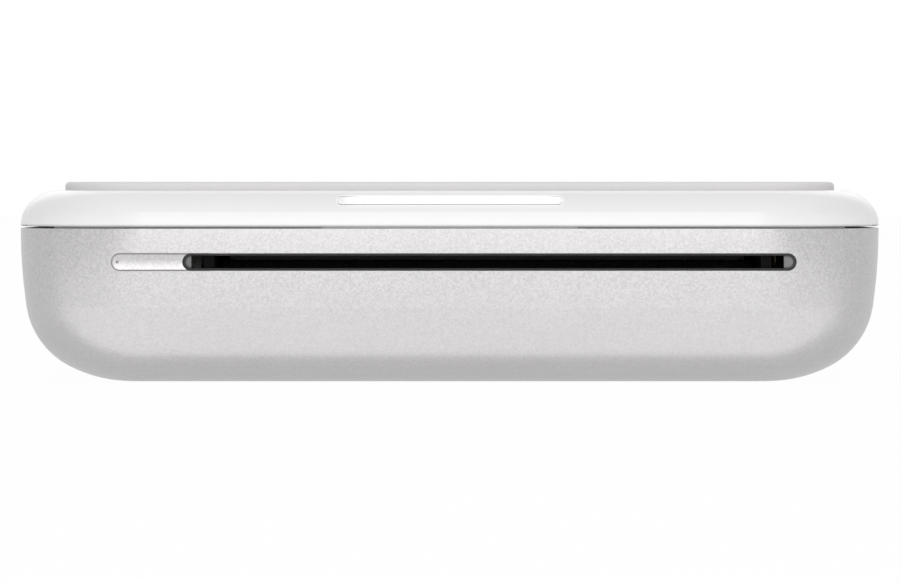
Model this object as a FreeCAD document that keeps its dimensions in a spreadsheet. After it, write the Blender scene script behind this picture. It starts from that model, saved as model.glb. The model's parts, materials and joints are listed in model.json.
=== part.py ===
import FreeCAD, Part
import math
import os
import Sketcher
from types import SimpleNamespace
from FreeCAD import Placement, Rotation, Vector

# A pocket photo printer: a pearl lower shell, a white hinged cover, and the print engine,
# paper tray, battery and electronics between them.
# X runs to the right seen from the slot side, Y to the back and Z up.
# The origin is at the middle of the flat underside.

SIZES = {
    # Outline of the body
    "body_width": 82,
    "body_depth": 118,
    "plan_radius": 12,
    # Side curve of the lower shell, three tangent arcs from its top edge down
    "side_radius": 53.7,
    "side_angle": 7.9,
    "bend_radius": 7.76,
    "bend_angle": 62.3,
    "foot_radius": 12.64,
    "shell_wall": 1.5,
    # Side curve of the cover, from its lip up
    "seam_gap": 0.18,
    "lip_radius": 0.19,
    "brow_radius": 2.62,
    "brow_angle": 26.5,
    "crown_radius": 3.7,
    "cover_wall": 1.3,
    "panel_inset": 4.25,
    "panel_height": 0.8,
    "panel_round": 0.4,
    # Shared clearances
    "overrun": 1,
    "seat_gap": 0.1,
    "loose_gap": 0.3,
    "bore_gap": 0.05,
    # Paper, its slot and its tray
    "paper_side_margin": 16,
    "paper_middle": 3.55,
    "paper_side_gap": 0.6,
    "tray_back_margin": 12,
    "ramp_length": 12.6,
    "slot_level": 11.52,
    "slot_height": 1.6,
    "slot_depth": 0.9,
    "slot_left_margin": 0.8,
    "slot_right_margin": 1.15,
    "mouth_height": 1.2,
    "mouth_margin": 2.7,
    "recess_length": 6.65,
    "recess_depth": 0.35,
    "pinhole_radius": 0.12,
    "pinhole_depth": 0.8,
    "pinhole_margin": 0.55,
    # Moulded chassis
    "floor_level": 9.2,
    "floor_thickness": 1,
    "chassis_wall": 1,
    "chassis_wall_low": 4.6,
    "ramp_rise": 1,
    "wall_gap": 0.4,
    "sill_gap": 0.5,
    "roller_gap": 0.4,
    "guide_rise": 0.25,
    "guide_gap": 1,
    "ear_radius": 2.4,
    # Dark inner bezel
    "deck_thickness": 1,
    "deck_gap": 0.2,
    "rim_inset": 3.2,
    "rim_thickness": 1.2,
    "rim_height": 1,
    "bezel_front_margin": 6,
    "bezel_corner": 1.5,
    # Hinge
    "hinge_back": 2.6,
    "hinge_lift": 0.87,
    "hinge_sweep_gap": 0.45,
    "knuckle_radius": 1.25,
    "knuckle_width": 3.4,
    "knuckle_margin": 15,
    "lug_width": 2,
    "hinge_pin_radius": 0.6,
    # Print roller and its gear side
    "platen_margin": 12.5,
    "platen_radius": 3.5,
    "platen_end_gap": 0.5,
    "platen_shaft_radius": 1.2,
    "platen_bush_radius": 2,
    "bush_stand": 0.2,
    "gear_module": 0.5,
    "gear_face": 1.4,
    "gear_side_gap": 0.5,
    "gear_plane_gap": 0.15,
    "gear_pin_radius": 0.6,
    "pin_head_radius": 1.1,
    "pin_head_height": 0.4,
    # Pickup roller
    "tyre_radius": 2.6,
    "tyre_width": 6,
    "tyre_margin": 13.6,
    "tyre_hub_radius": 1.7,
    "pickup_shaft_radius": 1,
    "pickup_bush_radius": 1.7,
    "window_gap": 0.6,
    # Drive motor
    "motor_radius": 5,
    "motor_length": 7.6,
    "motor_shaft_radius": 0.5,
    "motor_collar_radius": 2,
    "motor_collar_height": 0.4,
    "motor_block_reach": 0.5,
    "bracket_thickness": 0.8,
    "bracket_height": 10,
    "bracket_margin": 2.2,
    "bracket_post_radius": 1.4,
    "bracket_post_spread": 6.8,
    "bracket_post_gap": 1.6,
    # Thermal print head
    "head_end_gap": 1.15,
    "head_plate_thickness": 1,
    "head_plate_depth": 11.4,
    "head_strip_depth": 5.4,
    "head_strip_gap": 0.1,
    "head_strip_thickness": 0.68,
    "head_strip_setback": 0.4,
    "head_rib_height": 0.6,
    "head_rib_width": 1.2,
    "pivot_reach": 10,
    "pivot_level": 12.2,
    "pivot_radius": 0.6,
    "pivot_ear_radius": 1.1,
    "pivot_ear_width": 1,
    "stay_depth": 4,
    "stay_sheet": 0.5,
    "stay_foot": 4.2,
    # Coil springs
    "head_spring_wire": 0.3,
    "head_spring_radius": 1.3,
    "head_spring_height": 1.8,
    "head_spring_margin": 9.45,
    "plate_spring_wire": 0.4,
    "plate_spring_radius": 2.8,
    "plate_spring_margin": 9,
    # Pressure plate under the cover
    "plate_side_gap": 5,
    "plate_front_gap": 1,
    "plate_depth": 34,
    "plate_low": 11,
    "plate_thickness": 1.2,
    "plate_corner": 2,
    "plate_rib": 0.6,
    "tab_reach": 1.2,
    "tab_thickness": 0.6,
    "tab_depth": 3,
    "tab_margin": 5,
    "finger_thickness": 1,
    "finger_depth": 4,
    "hook_thickness": 0.45,
    "hook_reach": 0.9,
    # Liner inside the cover
    "liner_inset": 3.8,
    "liner_thickness": 1,
    "magnet_radius": 2,
    "magnet_thickness": 0.8,
    "magnet_side_margin": 8,
    "magnet_front_margin": 21,
    "keeper_thickness": 0.5,
    # Status light in the front of the cover
    "light_bar_length": 21,
    "light_bar_height": 0.72,
    "light_bar_level": 17.26,
    "light_bar_depth": 2.6,
    "light_guide_length": 24,
    "light_guide_depth": 2.2,
    "light_board_thickness": 0.8,
    "light_board_depth": 3.5,
    "light_board_margin": 1.5,
    "light_board_setback": 0.2,
    "light_chip_length": 1.6,
    "light_chip_depth": 0.8,
    "light_chip_setback": 0.4,
    "light_chip_height": 0.6,
    "light_chip_pitch": 5,
    # Screws: small self-tapping pan heads
    "screw_radius": 0.8,
    "screw_head_radius": 1.5,
    "screw_head_height": 0.6,
    "screw_drive_width": 0.4,
    "screw_drive_length": 1.8,
    "screw_drive_depth": 0.35,
    "screw_length": 6,
    "small_screw_radius": 0.6,
    "small_screw_head_radius": 1.1,
    "small_screw_head_height": 0.5,
    "small_screw_length": 2.6,
    "small_screw_drive_length": 1.3,
    "liner_screw_length": 1.9,
    "boss_radius": 2,
    "case_boss_side_margin": 8,
    "case_boss_end_margin": 8.8,
    "left_post_gap": 3.95,
    "left_post_front_gap": 17.5,
    "left_post_back_gap": 9,
    "right_post_gap": 3.85,
    "right_post_front_gap": 0.5,
    "right_post_back_gap": 17,
    "post_radius": 1.8,
    "liner_screw_side_margin": 12,
    "liner_screw_front_margin": 15,
    "liner_screw_back_margin": 19,
    # Battery
    "battery_left_gap": 1.55,
    "battery_right_gap": 3.65,
    "battery_front_gap": 11.5,
    "battery_back_gap": 7,
    "battery_thickness": 5.2,
    "battery_corner": 2.4,
    "battery_pad_thickness": 0.3,
    "battery_pad_inset": 6,
    "lead_radius": 0.375,
    "lead_spacing": 1.2,
    "lead_run": 4,
    "lead_climb": 2.6,
    # Main board and what it carries
    "board_left_margin": 11,
    "board_right_margin": 15,
    "board_front_margin": 18,
    "board_back_margin": 4.5,
    "board_level": 5,
    "board_thickness": 1,
    "board_post_radius": 1.5,
    "board_post_gap": 7.5,
    "chip_size": 6,
    "chip_height": 0.9,
    "chip_gap": 6,
    "small_chip_size": 3.4,
    "radio_width": 8,
    "radio_depth": 6,
    "radio_height": 1.6,
    "radio_gap": 5,
    "usb_width": 7.5,
    "usb_height": 2.6,
    "usb_wall": 0.3,
    "usb_depth": 5,
    "usb_setback": 1.7,
    "usb_opening_gap": 0.3,
    "usb_tongue": 0.6,
    "switch_width": 4.6,
    "switch_depth": 2,
    "switch_height": 2,
    "switch_stem_radius": 0.6,
    "switch_stem_length": 1.2,
    "plug_width": 4,
    "plug_setback": 4.5,
    "plug_depth": 3,
    "plug_height": 2,
    "flex_plug_width": 5,
    "flex_plug_height": 1.2,
    "motor_lead_radius": 0.45,
    # Rear controls
    "button_level": 9,
    "button_width": 9,
    "button_height": 2.6,
    "button_gap": 0.12,
    "button_flange": 0.6,
    "button_flange_thickness": 0.7,
    "button_setback": 0.15,
    "button_back_margin": 2.9,
    "button_skirt": 0.9,
    "reset_level": 7.3,
    "reset_hole_radius": 0.6,
    "reset_radius": 0.45,
    "reset_length": 0.8,
    "pipe_level": 8,
    "pipe_radius": 0.75,
    "pipe_setback": 0.5,
    "pipe_back_margin": 5,
    # Flex cable of the print head
    "flex_thickness": 0.2,
    "flex_width": 4,
    "flex_level": 5,
    "flex_side_gap": 1.05,
    "flex_bend": 0.6,
    "flex_tab_depth": 5,
    "flex_tab_gap": 3.5,
    "flex_tail_depth": 3.2,
    "flex_tail_gap": 3.5,
    "flex_tail_level": 6.5,
    "flex_reach": 8,
}

# Whole turns, counts and proportions
FULL_TURN = 360
HALF_TURN = 180
QUARTER_TURN = 90
CENTRE_POINT = 3
PLATEN_TEETH = 20
IDLER_TEETH = 12
PICKUP_TEETH = 16
SMALL_TEETH = 10
BIG_TEETH = 20
PINION_TEETH = 10
TOOTH_TIP_SHARE = 0.8
TOOTH_ROOT_SHARE = 1.15
TOOTH_WIDTH_SHARE = 0.42
TIP_SLOPE_SHARE = math.tan(math.radians(22))
ROOT_SLOPE_SHARE = math.tan(math.radians(14))
HEAD_SPRING_TURNS = 2
PLATE_SPRING_TURNS = 3
COIL_ARCS = 4
ARC_POINTS = 3
LIGHT_CHIPS = 3
BEND_RUN_SHARE = 0.45
MOTOR_BLOCK_SHARE = 0.4
SWITCH_STEM_SHARE = 0.75
LEAD_TURN_SHARE = 0.75
USB_ROUND_SHARE = 1 / 3
GEAR_HEEL_SHARE = 0.25
BOARD_POST_SHARES = (0.1607, 0.7946)
MOTOR_PLUG_SHARE = 0.0429
RESET_SHARE = 0.1071
SMALL_CHIP_SHARE = 0.2679
USB_SHARE = 0.2857
RADIO_SHARE = 0.4107
PIPE_SHARE = 0.4643
CHIP_SHARE = 0.5893
BATTERY_PLUG_SHARE = 0.7143
BUTTON_SHARE = 0.8393
FLEX_PLUG_SHARE = 0.9018
MOTOR_LEAD_SHARES = ((0, 0, 0), (-0.6, 0.3, -0.8), (-0.5, 0.65, -1.2), (-0.1, 1, -1.1))

doc = FreeCAD.newDocument("Printer")
sheet = doc.addObject("Spreadsheet::Sheet", "Sizes")
pieces = []
cuts = []


class Size:
    """A measure with its present number and the sheet expression that gives it."""

    def __init__(self, number, text):
        self.number = number
        self.text = text

    def joined(self, other, sign, number):
        return Size(number, "(" + self.text + " " + sign + " " + other.text + ")")

    def __add__(self, other):
        other = size_of(other)
        return self.joined(other, "+", self.number + other.number)

    def __sub__(self, other):
        other = size_of(other)
        return self.joined(other, "-", self.number - other.number)

    def __mul__(self, other):
        other = size_of(other)
        return self.joined(other, "*", self.number * other.number)

    def __truediv__(self, other):
        other = size_of(other)
        return self.joined(other, "/", self.number / other.number)

    def __radd__(self, other):
        return size_of(other) + self

    def __rsub__(self, other):
        return size_of(other) - self

    def __rmul__(self, other):
        return size_of(other) * self

    def __neg__(self):
        return Size(-self.number, "(0 - " + self.text + ")")


def size_of(value):
    """A plain count or zero as a Size."""
    if isinstance(value, Size):
        return value
    return Size(value, "(" + repr(value) + ")" if value else "0")


def sine(angle):
    """Sine of an angle in degrees."""
    return Size(math.sin(math.radians(angle.number)), "sin(" + angle.text + " * 1 deg)")


def cosine(angle):
    """Cosine of an angle in degrees."""
    return Size(math.cos(math.radians(angle.number)), "cos(" + angle.text + " * 1 deg)")


def root(square):
    """Square root of a Size."""
    return Size(math.sqrt(square.number), "sqrt(" + square.text + ")")


def fill_sheet():
    """Write the driving dimensions into the sheet and return them by name."""
    measures = {}
    for row, (name, value) in enumerate(SIZES.items(), start=1):
        sheet.set("A%d" % row, name)
        sheet.set("B%d" % row, str(value))
        sheet.setAlias("B%d" % row, name)
        measures[name] = Size(value, "Sizes." + name)
    doc.recompute()
    return SimpleNamespace(**measures)


S = fill_sheet()


# Sketches and features

def origin_plane(body, role):
    return [item for item in body.Origin.OriginFeatures if item.Role == role][0]


def new_body(name, place=None):
    """A sub-part whose Label names its file, at an optional place."""
    body = doc.addObject("PartDesign::Body", name)
    body.Label = name
    body.AllowCompound = True
    if place:
        for axis, value in zip("xyz", place):
            bind(body, "Placement.Base." + axis, value)
    pieces.append(body)
    return body


def bind(item, path, value):
    item.setExpression(path, size_of(value).text)


def box_loop(left, right, low, high):
    """Corners of a rectangle, each with the radius of the edge that arrives there."""
    return [(left, low, None), (right, low, None), (right, high, None), (left, high, None)]


def round_loop(left, right, low, high, radius):
    """A rectangle with rounded corners."""
    return [
        (left + radius, low, radius), (right - radius, low, None),
        (right, low + radius, radius), (right, high - radius, None),
        (right - radius, high, radius), (left + radius, high, None),
        (left, high - radius, radius), (left, low + radius, None),
    ]


def capsule_loop(left, right, middle, height):
    """A slot shape with round ends."""
    radius = height / 2
    return [
        (left + radius, middle - radius, radius), (right - radius, middle - radius, None),
        (right, middle, radius), (right - radius, middle + radius, radius),
        (left + radius, middle + radius, None), (left, middle, radius),
    ]


def ring(x, y, radius):
    """A full circle."""
    return ("circle", x, y, radius)


def lock(sketch, edge, end, x, y):
    """Hold a sketch point at two expressions measured from the sketch origin."""
    for kind, value, axis in (("DistanceX", size_of(x), -2), ("DistanceY", size_of(y), -1)):
        if value.text == "0":
            sketch.addConstraint(Sketcher.Constraint("PointOnObject", edge, end, axis))
            continue
        index = sketch.addConstraint(
            Sketcher.Constraint(kind, -1, 1, edge, end, value.number))
        sketch.setExpression("Constraints[%d]" % index, value.text)


def add_circle(sketch, x, y, radius):
    x, y, radius = size_of(x), size_of(y), size_of(radius)
    centre = Vector(x.number, y.number, 0)
    edge = sketch.addGeometry(Part.Circle(centre, Vector(0, 0, 1), radius.number), False)
    index = sketch.addConstraint(Sketcher.Constraint("Radius", edge, radius.number))
    sketch.setExpression("Constraints[%d]" % index, radius.text)
    lock(sketch, edge, CENTRE_POINT, x, y)


def arc_edge(start, end, radius):
    """The shorter arc that turns left from start to end."""
    chord = end - start
    middle = (start + end) / 2
    height = math.sqrt(max(radius ** 2 - (chord.Length / 2) ** 2, 0))
    left = Vector(-chord.y, chord.x, 0).normalize()
    centre = middle + left * height
    first = math.atan2(start.y - centre.y, start.x - centre.x)
    last = math.atan2(end.y - centre.y, end.x - centre.x)
    circle = Part.Circle(centre, Vector(0, 0, 1), radius)
    return Part.ArcOfCircle(circle, first, last)


def add_loop(sketch, loop):
    """Draw a closed outline; an arc with a minus radius turns right."""
    nodes = [(size_of(x), size_of(y), radius) for x, y, radius in loop]
    ends = []
    for number, (x, y, radius) in enumerate(nodes):
        before = nodes[number - 1]
        start = Vector(before[0].number, before[1].number, 0)
        end = Vector(x.number, y.number, 0)
        if radius is None:
            edge = sketch.addGeometry(Part.LineSegment(start, end), False)
            ends.append((edge, 1, 2))
            continue
        right = radius.number < 0
        if right:
            start, end = end, start
        edge = sketch.addGeometry(arc_edge(start, end, abs(radius.number)), False)
        index = sketch.addConstraint(
            Sketcher.Constraint("Radius", edge, abs(radius.number)))
        sketch.setExpression("Constraints[%d]" % index, "abs(" + radius.text + ")")
        ends.append((edge, 2, 1) if right else (edge, 1, 2))
    for number, (x, y, radius) in enumerate(nodes):
        edge, first, last = ends[number]
        following = ends[(number + 1) % len(ends)]
        sketch.addConstraint(
            Sketcher.Constraint("Coincident", edge, last, following[0], following[1]))
        lock(sketch, edge, last, x, y)


def new_sketch(body, role, offset, loops):
    """A sketch on an origin plane of the body, moved by an offset along the plane's axes."""
    sketch = body.newObject("Sketcher::SketchObject", body.Label + "_sketch")
    sketch.AttachmentSupport = (origin_plane(body, role), [""])
    sketch.MapMode = "FlatFace"
    for axis, value in zip("xyz", offset):
        bind(sketch, "AttachmentOffset.Base." + axis, value)
    for loop in loops:
        if loop[0] == "circle":
            add_circle(sketch, *loop[1:])
        else:
            add_loop(sketch, loop)
    return sketch


def pad(body, axis, low, high, *loops):
    """Add a prism between two levels along an axis of the body."""
    low, high = size_of(low), size_of(high)
    role, level = {
        "x": ("YZ_Plane", low), "y": ("XZ_Plane", -high), "z": ("XY_Plane", low)}[axis]
    feature = body.newObject("PartDesign::Pad", body.Label + "_pad")
    feature.Profile = new_sketch(body, role, (0, 0, level), loops)
    bind(feature, "Length", high - low)
    return feature


def pocket(body, axis, low, high, *loops):
    """Cut a prism between two levels along an axis of the body."""
    low, high = size_of(low), size_of(high)
    role, level = {
        "x": ("YZ_Plane", high), "y": ("XZ_Plane", -low), "z": ("XY_Plane", high)}[axis]
    feature = body.newObject("PartDesign::Pocket", body.Label + "_pocket")
    feature.Profile = new_sketch(body, role, (0, 0, level), loops)
    bind(feature, "Length", high - low)
    cuts.append(feature)
    return feature


def turned(body, kind, role, offset, axis, loop, angle=FULL_TURN, reverse=False):
    """Revolve an outline about an axis of its sketch, to add or to cut."""
    feature = body.newObject("PartDesign::" + kind, body.Label + "_" + kind.lower())
    sketch = new_sketch(body, role, offset, [loop])
    feature.Profile = sketch
    feature.ReferenceAxis = (sketch, [axis])
    feature.Angle = angle
    feature.Reversed = reverse
    if kind == "Groove":
        cuts.append(feature)
    return feature


# Forms shared by the shell, the cover, the bezel and the liner

half_width = S.body_width / 2
half_depth = S.body_depth / 2


def plan_loop(inset, back_inset=None):
    """The plan outline of the body, moved inwards."""
    back = half_depth - (back_inset or inset)
    return round_loop(inset - half_width, half_width - inset, inset - half_depth, back,
                      S.plan_radius - inset)


def curved_form(body, adding, curve):
    """A form with the rounded plan and one side curve all round.

    The curve runs up one side as (inset, level, radius) and the form is two crossed slabs
    with a quarter turn of the curve at each corner.
    """
    prism = pad if adding else pocket
    flat_x = half_width - S.plan_radius
    flat_y = half_depth - S.plan_radius
    for axis, half, reach in (("y", half_width, flat_y), ("x", half_depth, flat_x)):
        near = [(half - inset, level, radius) for inset, level, radius in curve]
        radii = [radius for inset, level, radius in curve[1:]]
        far = [(-(half - inset), level, None) for inset, level, radius in reversed(curve)]
        far = far[:1] + [(x, z, radius) for (x, z, _), radius in zip(far[1:], reversed(radii))]
        prism(body, axis, -reach, reach, near + far)
    side = [(S.plan_radius - inset, level, radius) for inset, level, radius in curve]
    for sign_x in (1, -1):
        for sign_y in (1, -1):
            loop = [(0, side[0][1], None)] + side + [(0, side[-1][1], None)]
            if sign_x < 0:
                loop = [(-x if x else 0, z, -radius if radius else None)
                        for x, z, radius in loop]
            turned(body, "Revolution" if adding else "Groove", "XZ_Plane",
                   (flat_x * sign_x, 0, flat_y * -sign_y), "V_Axis", loop,
                   QUARTER_TURN, sign_x * sign_y < 0)


side_fall = S.side_radius * sine(S.side_angle)
bend_fall = S.bend_radius * (sine(S.bend_angle) - sine(S.side_angle))
foot_fall = S.foot_radius * (1 - sine(S.bend_angle))
shell_top = side_fall + bend_fall + foot_fall
side_in = S.side_radius * (1 - cosine(S.side_angle))
bend_in = side_in + S.bend_radius * (cosine(S.side_angle) - cosine(S.bend_angle))
foot_in = bend_in + S.foot_radius * cosine(S.bend_angle)


def shell_curve(wall):
    """The lower shell's side curve, or its parallel one wall further in."""
    return [
        (foot_in, wall, None),
        (bend_in + wall * cosine(S.bend_angle), foot_fall + wall * sine(S.bend_angle),
         S.foot_radius - wall),
        (side_in + wall * cosine(S.side_angle),
         foot_fall + bend_fall + wall * sine(S.side_angle), S.bend_radius - wall),
        (wall, shell_top, S.side_radius - wall),
    ]


cover_low = shell_top + S.seam_gap
brow_low = cover_low + S.lip_radius
brow_top = brow_low + S.brow_radius * sine(S.brow_angle)
cover_top = brow_top + S.crown_radius * (1 - sine(S.brow_angle))
ceiling = cover_top - S.cover_wall
brow_in = S.brow_radius * (1 - cosine(S.brow_angle))
crown_in = brow_in + S.crown_radius * cosine(S.brow_angle)


def cover_curve():
    """The cover's outer side curve."""
    return [
        (S.lip_radius, cover_low, None),
        (size_of(0), brow_low, S.lip_radius),
        (brow_in, brow_top, S.brow_radius),
        (crown_in, cover_top, S.crown_radius),
    ]


def cover_cavity_curve():
    """The parallel curve inside the cover."""
    wall = S.cover_wall
    return [
        (wall, cover_low - S.overrun, None),
        (wall, brow_low, None),
        (brow_in + wall * cosine(S.brow_angle), brow_top - wall * sine(S.brow_angle),
         S.brow_radius - wall),
        (crown_in, ceiling, S.crown_radius - wall),
    ]


# Levels and places that several pieces share

floor_top = S.floor_level + S.floor_thickness
deck_low = shell_top - S.deck_thickness
rim_top = shell_top + S.rim_height
wall_top = deck_low - S.wall_gap
liner_low = ceiling - S.liner_thickness
axle_level = S.slot_level - S.platen_radius
paper_half = half_width - S.paper_side_margin
well_half = paper_half + S.paper_side_gap
well_left = S.paper_middle - well_half
well_right = S.paper_middle + well_half
wall_left = well_left - S.chassis_wall
wall_right = well_right + S.chassis_wall
platen_place = S.platen_margin - half_depth
pivot_place = platen_place + S.pivot_reach
tray_front = platen_place + S.platen_radius + S.roller_gap + S.ramp_length
tray_back = half_depth - S.tray_back_margin
sill_front = S.shell_wall + S.sill_gap - half_depth
hinge_y = half_depth - S.hinge_back
hinge_z = shell_top + S.hinge_lift
knuckle_place = half_width - S.knuckle_margin
tyre_spread = well_half - S.tyre_margin


def gear_reach(first, second):
    """Distance between the axes of two meshing gears."""
    return S.gear_module * (first + second) / 2


def along_board(share):
    """A place along the main board, by its share of the board's width."""
    return board_left + (board_right - board_left) * share


idler_places = [platen_place + gear_reach(PLATEN_TEETH, IDLER_TEETH)]
idler_places.append(idler_places[0] + gear_reach(IDLER_TEETH, IDLER_TEETH))
idler_places.append(idler_places[1] + gear_reach(IDLER_TEETH, IDLER_TEETH))
pickup_place = idler_places[2] + gear_reach(IDLER_TEETH, PICKUP_TEETH)
reduction_place = pickup_place + gear_reach(PICKUP_TEETH, SMALL_TEETH)
motor_place = reduction_place + gear_reach(BIG_TEETH, PINION_TEETH)

near_gear_right = wall_left - S.gear_side_gap
near_gear_left = near_gear_right - S.gear_face
far_gear_right = near_gear_left - S.gear_plane_gap
far_gear_left = far_gear_right - S.gear_face
bracket_right = far_gear_left - S.gear_side_gap
bracket_left = bracket_right - S.bracket_thickness
motor_left = bracket_left - S.motor_length

case_bosses = [((half_width - S.case_boss_side_margin) * a,
                (half_depth - S.case_boss_end_margin) * b) for a in (-1, 1) for b in (-1, 1)]
left_post_x = wall_left - S.left_post_gap
left_post_front = motor_place + S.left_post_front_gap
left_post_back = tray_back - S.left_post_back_gap
right_post_x = wall_right + S.right_post_gap
right_post_front = pickup_place - S.right_post_front_gap
right_post_back = tray_back - S.right_post_back_gap
chassis_posts = [
    (left_post_x, left_post_front), (left_post_x, left_post_back),
    (right_post_x, right_post_front), (right_post_x, right_post_back),
]

board_left = S.board_left_margin - half_width
board_right = half_width - S.board_right_margin
board_front = half_depth - S.board_front_margin
board_back = half_depth - S.board_back_margin
switch_face = board_back - S.seat_gap
board_posts = [(along_board(share), board_front + S.board_post_gap)
               for share in BOARD_POST_SHARES]
usb_x = along_board(USB_SHARE)
button_x = along_board(BUTTON_SHARE)
reset_x = along_board(RESET_SHARE)
pipe_x = along_board(PIPE_SHARE)
battery_plug_x = along_board(BATTERY_PLUG_SHARE)
motor_plug_x = along_board(MOTOR_PLUG_SHARE)
flex_plug_x = along_board(FLEX_PLUG_SHARE)


def rings(places, radius):
    return [ring(x, y, radius) for x, y in places]


# Outer casing

def lower_shell():
    """The pearl lower half of the casing, with its slot, rear openings and bosses."""
    body = new_body("lower_shell")
    curved_form(body, True, shell_curve(size_of(0)))
    cavity = shell_curve(S.shell_wall)
    curved_form(body, False, cavity + [(S.shell_wall, shell_top + S.overrun, None)])
    pad(body, "z", S.shell_wall, deck_low, *rings(case_bosses, S.boss_radius))
    pad(body, "z", S.shell_wall, S.floor_level, *rings(chassis_posts, S.post_radius))
    pad(body, "z", S.shell_wall, S.board_level, *rings(board_posts, S.board_post_radius))
    pocket(body, "z", deck_low - S.screw_length, deck_low, *rings(case_bosses, S.screw_radius))
    pocket(body, "z", S.floor_level - S.screw_length, S.floor_level,
           *rings(chassis_posts, S.screw_radius))
    pocket(body, "z", S.board_level - S.small_screw_length, S.board_level,
           *rings(board_posts, S.small_screw_radius))
    mouth_left = S.paper_middle - paper_half - S.mouth_margin
    mouth_right = S.paper_middle + paper_half + S.mouth_margin
    slot_left = mouth_left - S.slot_left_margin
    slot_right = mouth_right + S.slot_right_margin
    outside = -half_depth - S.overrun
    pocket(body, "y", outside, S.recess_depth - half_depth,
           capsule_loop(slot_left - S.recess_length, slot_right, S.slot_level, S.slot_height))
    pocket(body, "y", outside, S.slot_depth - half_depth,
           capsule_loop(slot_left, slot_right, S.slot_level, S.slot_height))
    pocket(body, "y", outside, S.shell_wall + S.overrun - half_depth,
           box_loop(mouth_left, mouth_right, S.slot_level - S.mouth_height / 2,
                    S.slot_level + S.mouth_height / 2))
    pinhole_x = slot_left - S.recess_length + S.pinhole_margin
    pocket(body, "y", outside, S.pinhole_depth - half_depth,
           ring(pinhole_x, S.slot_level, S.pinhole_radius))
    inside = half_depth - S.shell_wall - S.overrun
    usb_half = S.usb_width / 2 + S.usb_opening_gap
    usb_height = S.usb_height + 2 * S.usb_opening_gap
    button_half = S.button_width / 2 + S.button_gap
    openings = [
        capsule_loop(usb_x - usb_half, usb_x + usb_half, usb_level, usb_height),
        capsule_loop(button_x - button_half, button_x + button_half, S.button_level,
                     S.button_height + 2 * S.button_gap),
        ring(reset_x, S.reset_level, S.reset_hole_radius),
        ring(pipe_x, S.pipe_level, S.pipe_radius + S.bore_gap),
    ]
    pocket(body, "y", inside, half_depth + S.overrun, *openings)
    hinge_relief(body)


def hinge_relief(body):
    """Room for the cover's rear edge, which swings down about the hinge."""
    corner = S.plan_radius + S.hinge_sweep_gap
    flat_x = half_width - S.plan_radius
    below = S.plan_radius - S.hinge_back
    end_x = flat_x + root(corner * corner - below * below)
    crest = S.hinge_back + S.hinge_sweep_gap
    loop = [(-end_x, 0, corner), (end_x, 0, None), (flat_x, crest, corner), (-flat_x, crest, None)]
    turned(body, "Groove", "XY_Plane", (0, hinge_y, hinge_z), "H_Axis", loop)


board_top = S.board_level + S.board_thickness
usb_level = board_top + S.usb_height / 2


def top_cover():
    """The white hinged cover."""
    body = new_body("top_cover")
    curved_form(body, True, cover_curve())
    curved_form(body, False, cover_cavity_curve())
    half = S.light_bar_length / 2 + S.bore_gap
    pocket(body, "y", -half_depth - S.overrun, S.light_bar_depth + S.overrun - half_depth,
           capsule_loop(-half, half, S.light_bar_level, S.light_bar_height + 2 * S.bore_gap))
    for sign in (-1, 1):
        span = S.knuckle_width / 2 + S.lug_width + S.loose_gap + S.seat_gap
        middle = knuckle_place * sign
        pocket(body, "x", middle - span, middle + span,
               ring(hinge_y, hinge_z, S.knuckle_radius + S.loose_gap))
    pocket(body, "z", ceiling, liner_low + S.liner_screw_length,
           *rings(liner_screw_places(), S.small_screw_radius))


def liner_screw_places():
    return [((half_width - S.liner_screw_side_margin) * sign, y) for sign in (-1, 1)
            for y in (S.liner_screw_front_margin - half_depth,
                      half_depth - S.liner_screw_back_margin)]


def cover_panel():
    """The raised grey panel on top of the cover."""
    body = new_body("cover_panel")
    slab = pad(body, "z", cover_top, cover_top + S.panel_height, plan_loop(S.panel_inset))
    doc.recompute()
    faces = slab.Shape.Faces
    top = max(range(len(faces)), key=lambda number: faces[number].CenterOfMass.z)
    feature = body.newObject("PartDesign::Fillet", "panel_fillet")
    feature.Base = (slab, ["Face%d" % (top + 1)])
    bind(feature, "Radius", S.panel_round)


def status_light_bar():
    """The clear light bar, flush with the cover's curved front."""
    body = new_body("status_light_bar")
    half = S.light_bar_length / 2
    pad(body, "y", -half_depth, S.light_bar_depth - half_depth,
        capsule_loop(-half, half, S.light_bar_level, S.light_bar_height))
    front = -half_depth - S.overrun
    loop = [
        (front, brow_low, None), (brow_in - half_depth - brow_in, brow_low, None),
        (brow_in - half_depth, brow_top, -S.brow_radius),
        (crown_in - half_depth, cover_top, -S.crown_radius),
        (front, cover_top, None),
    ]
    pocket(body, "x", -half_width, half_width, loop)


# Inner bezel and hinge

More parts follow.
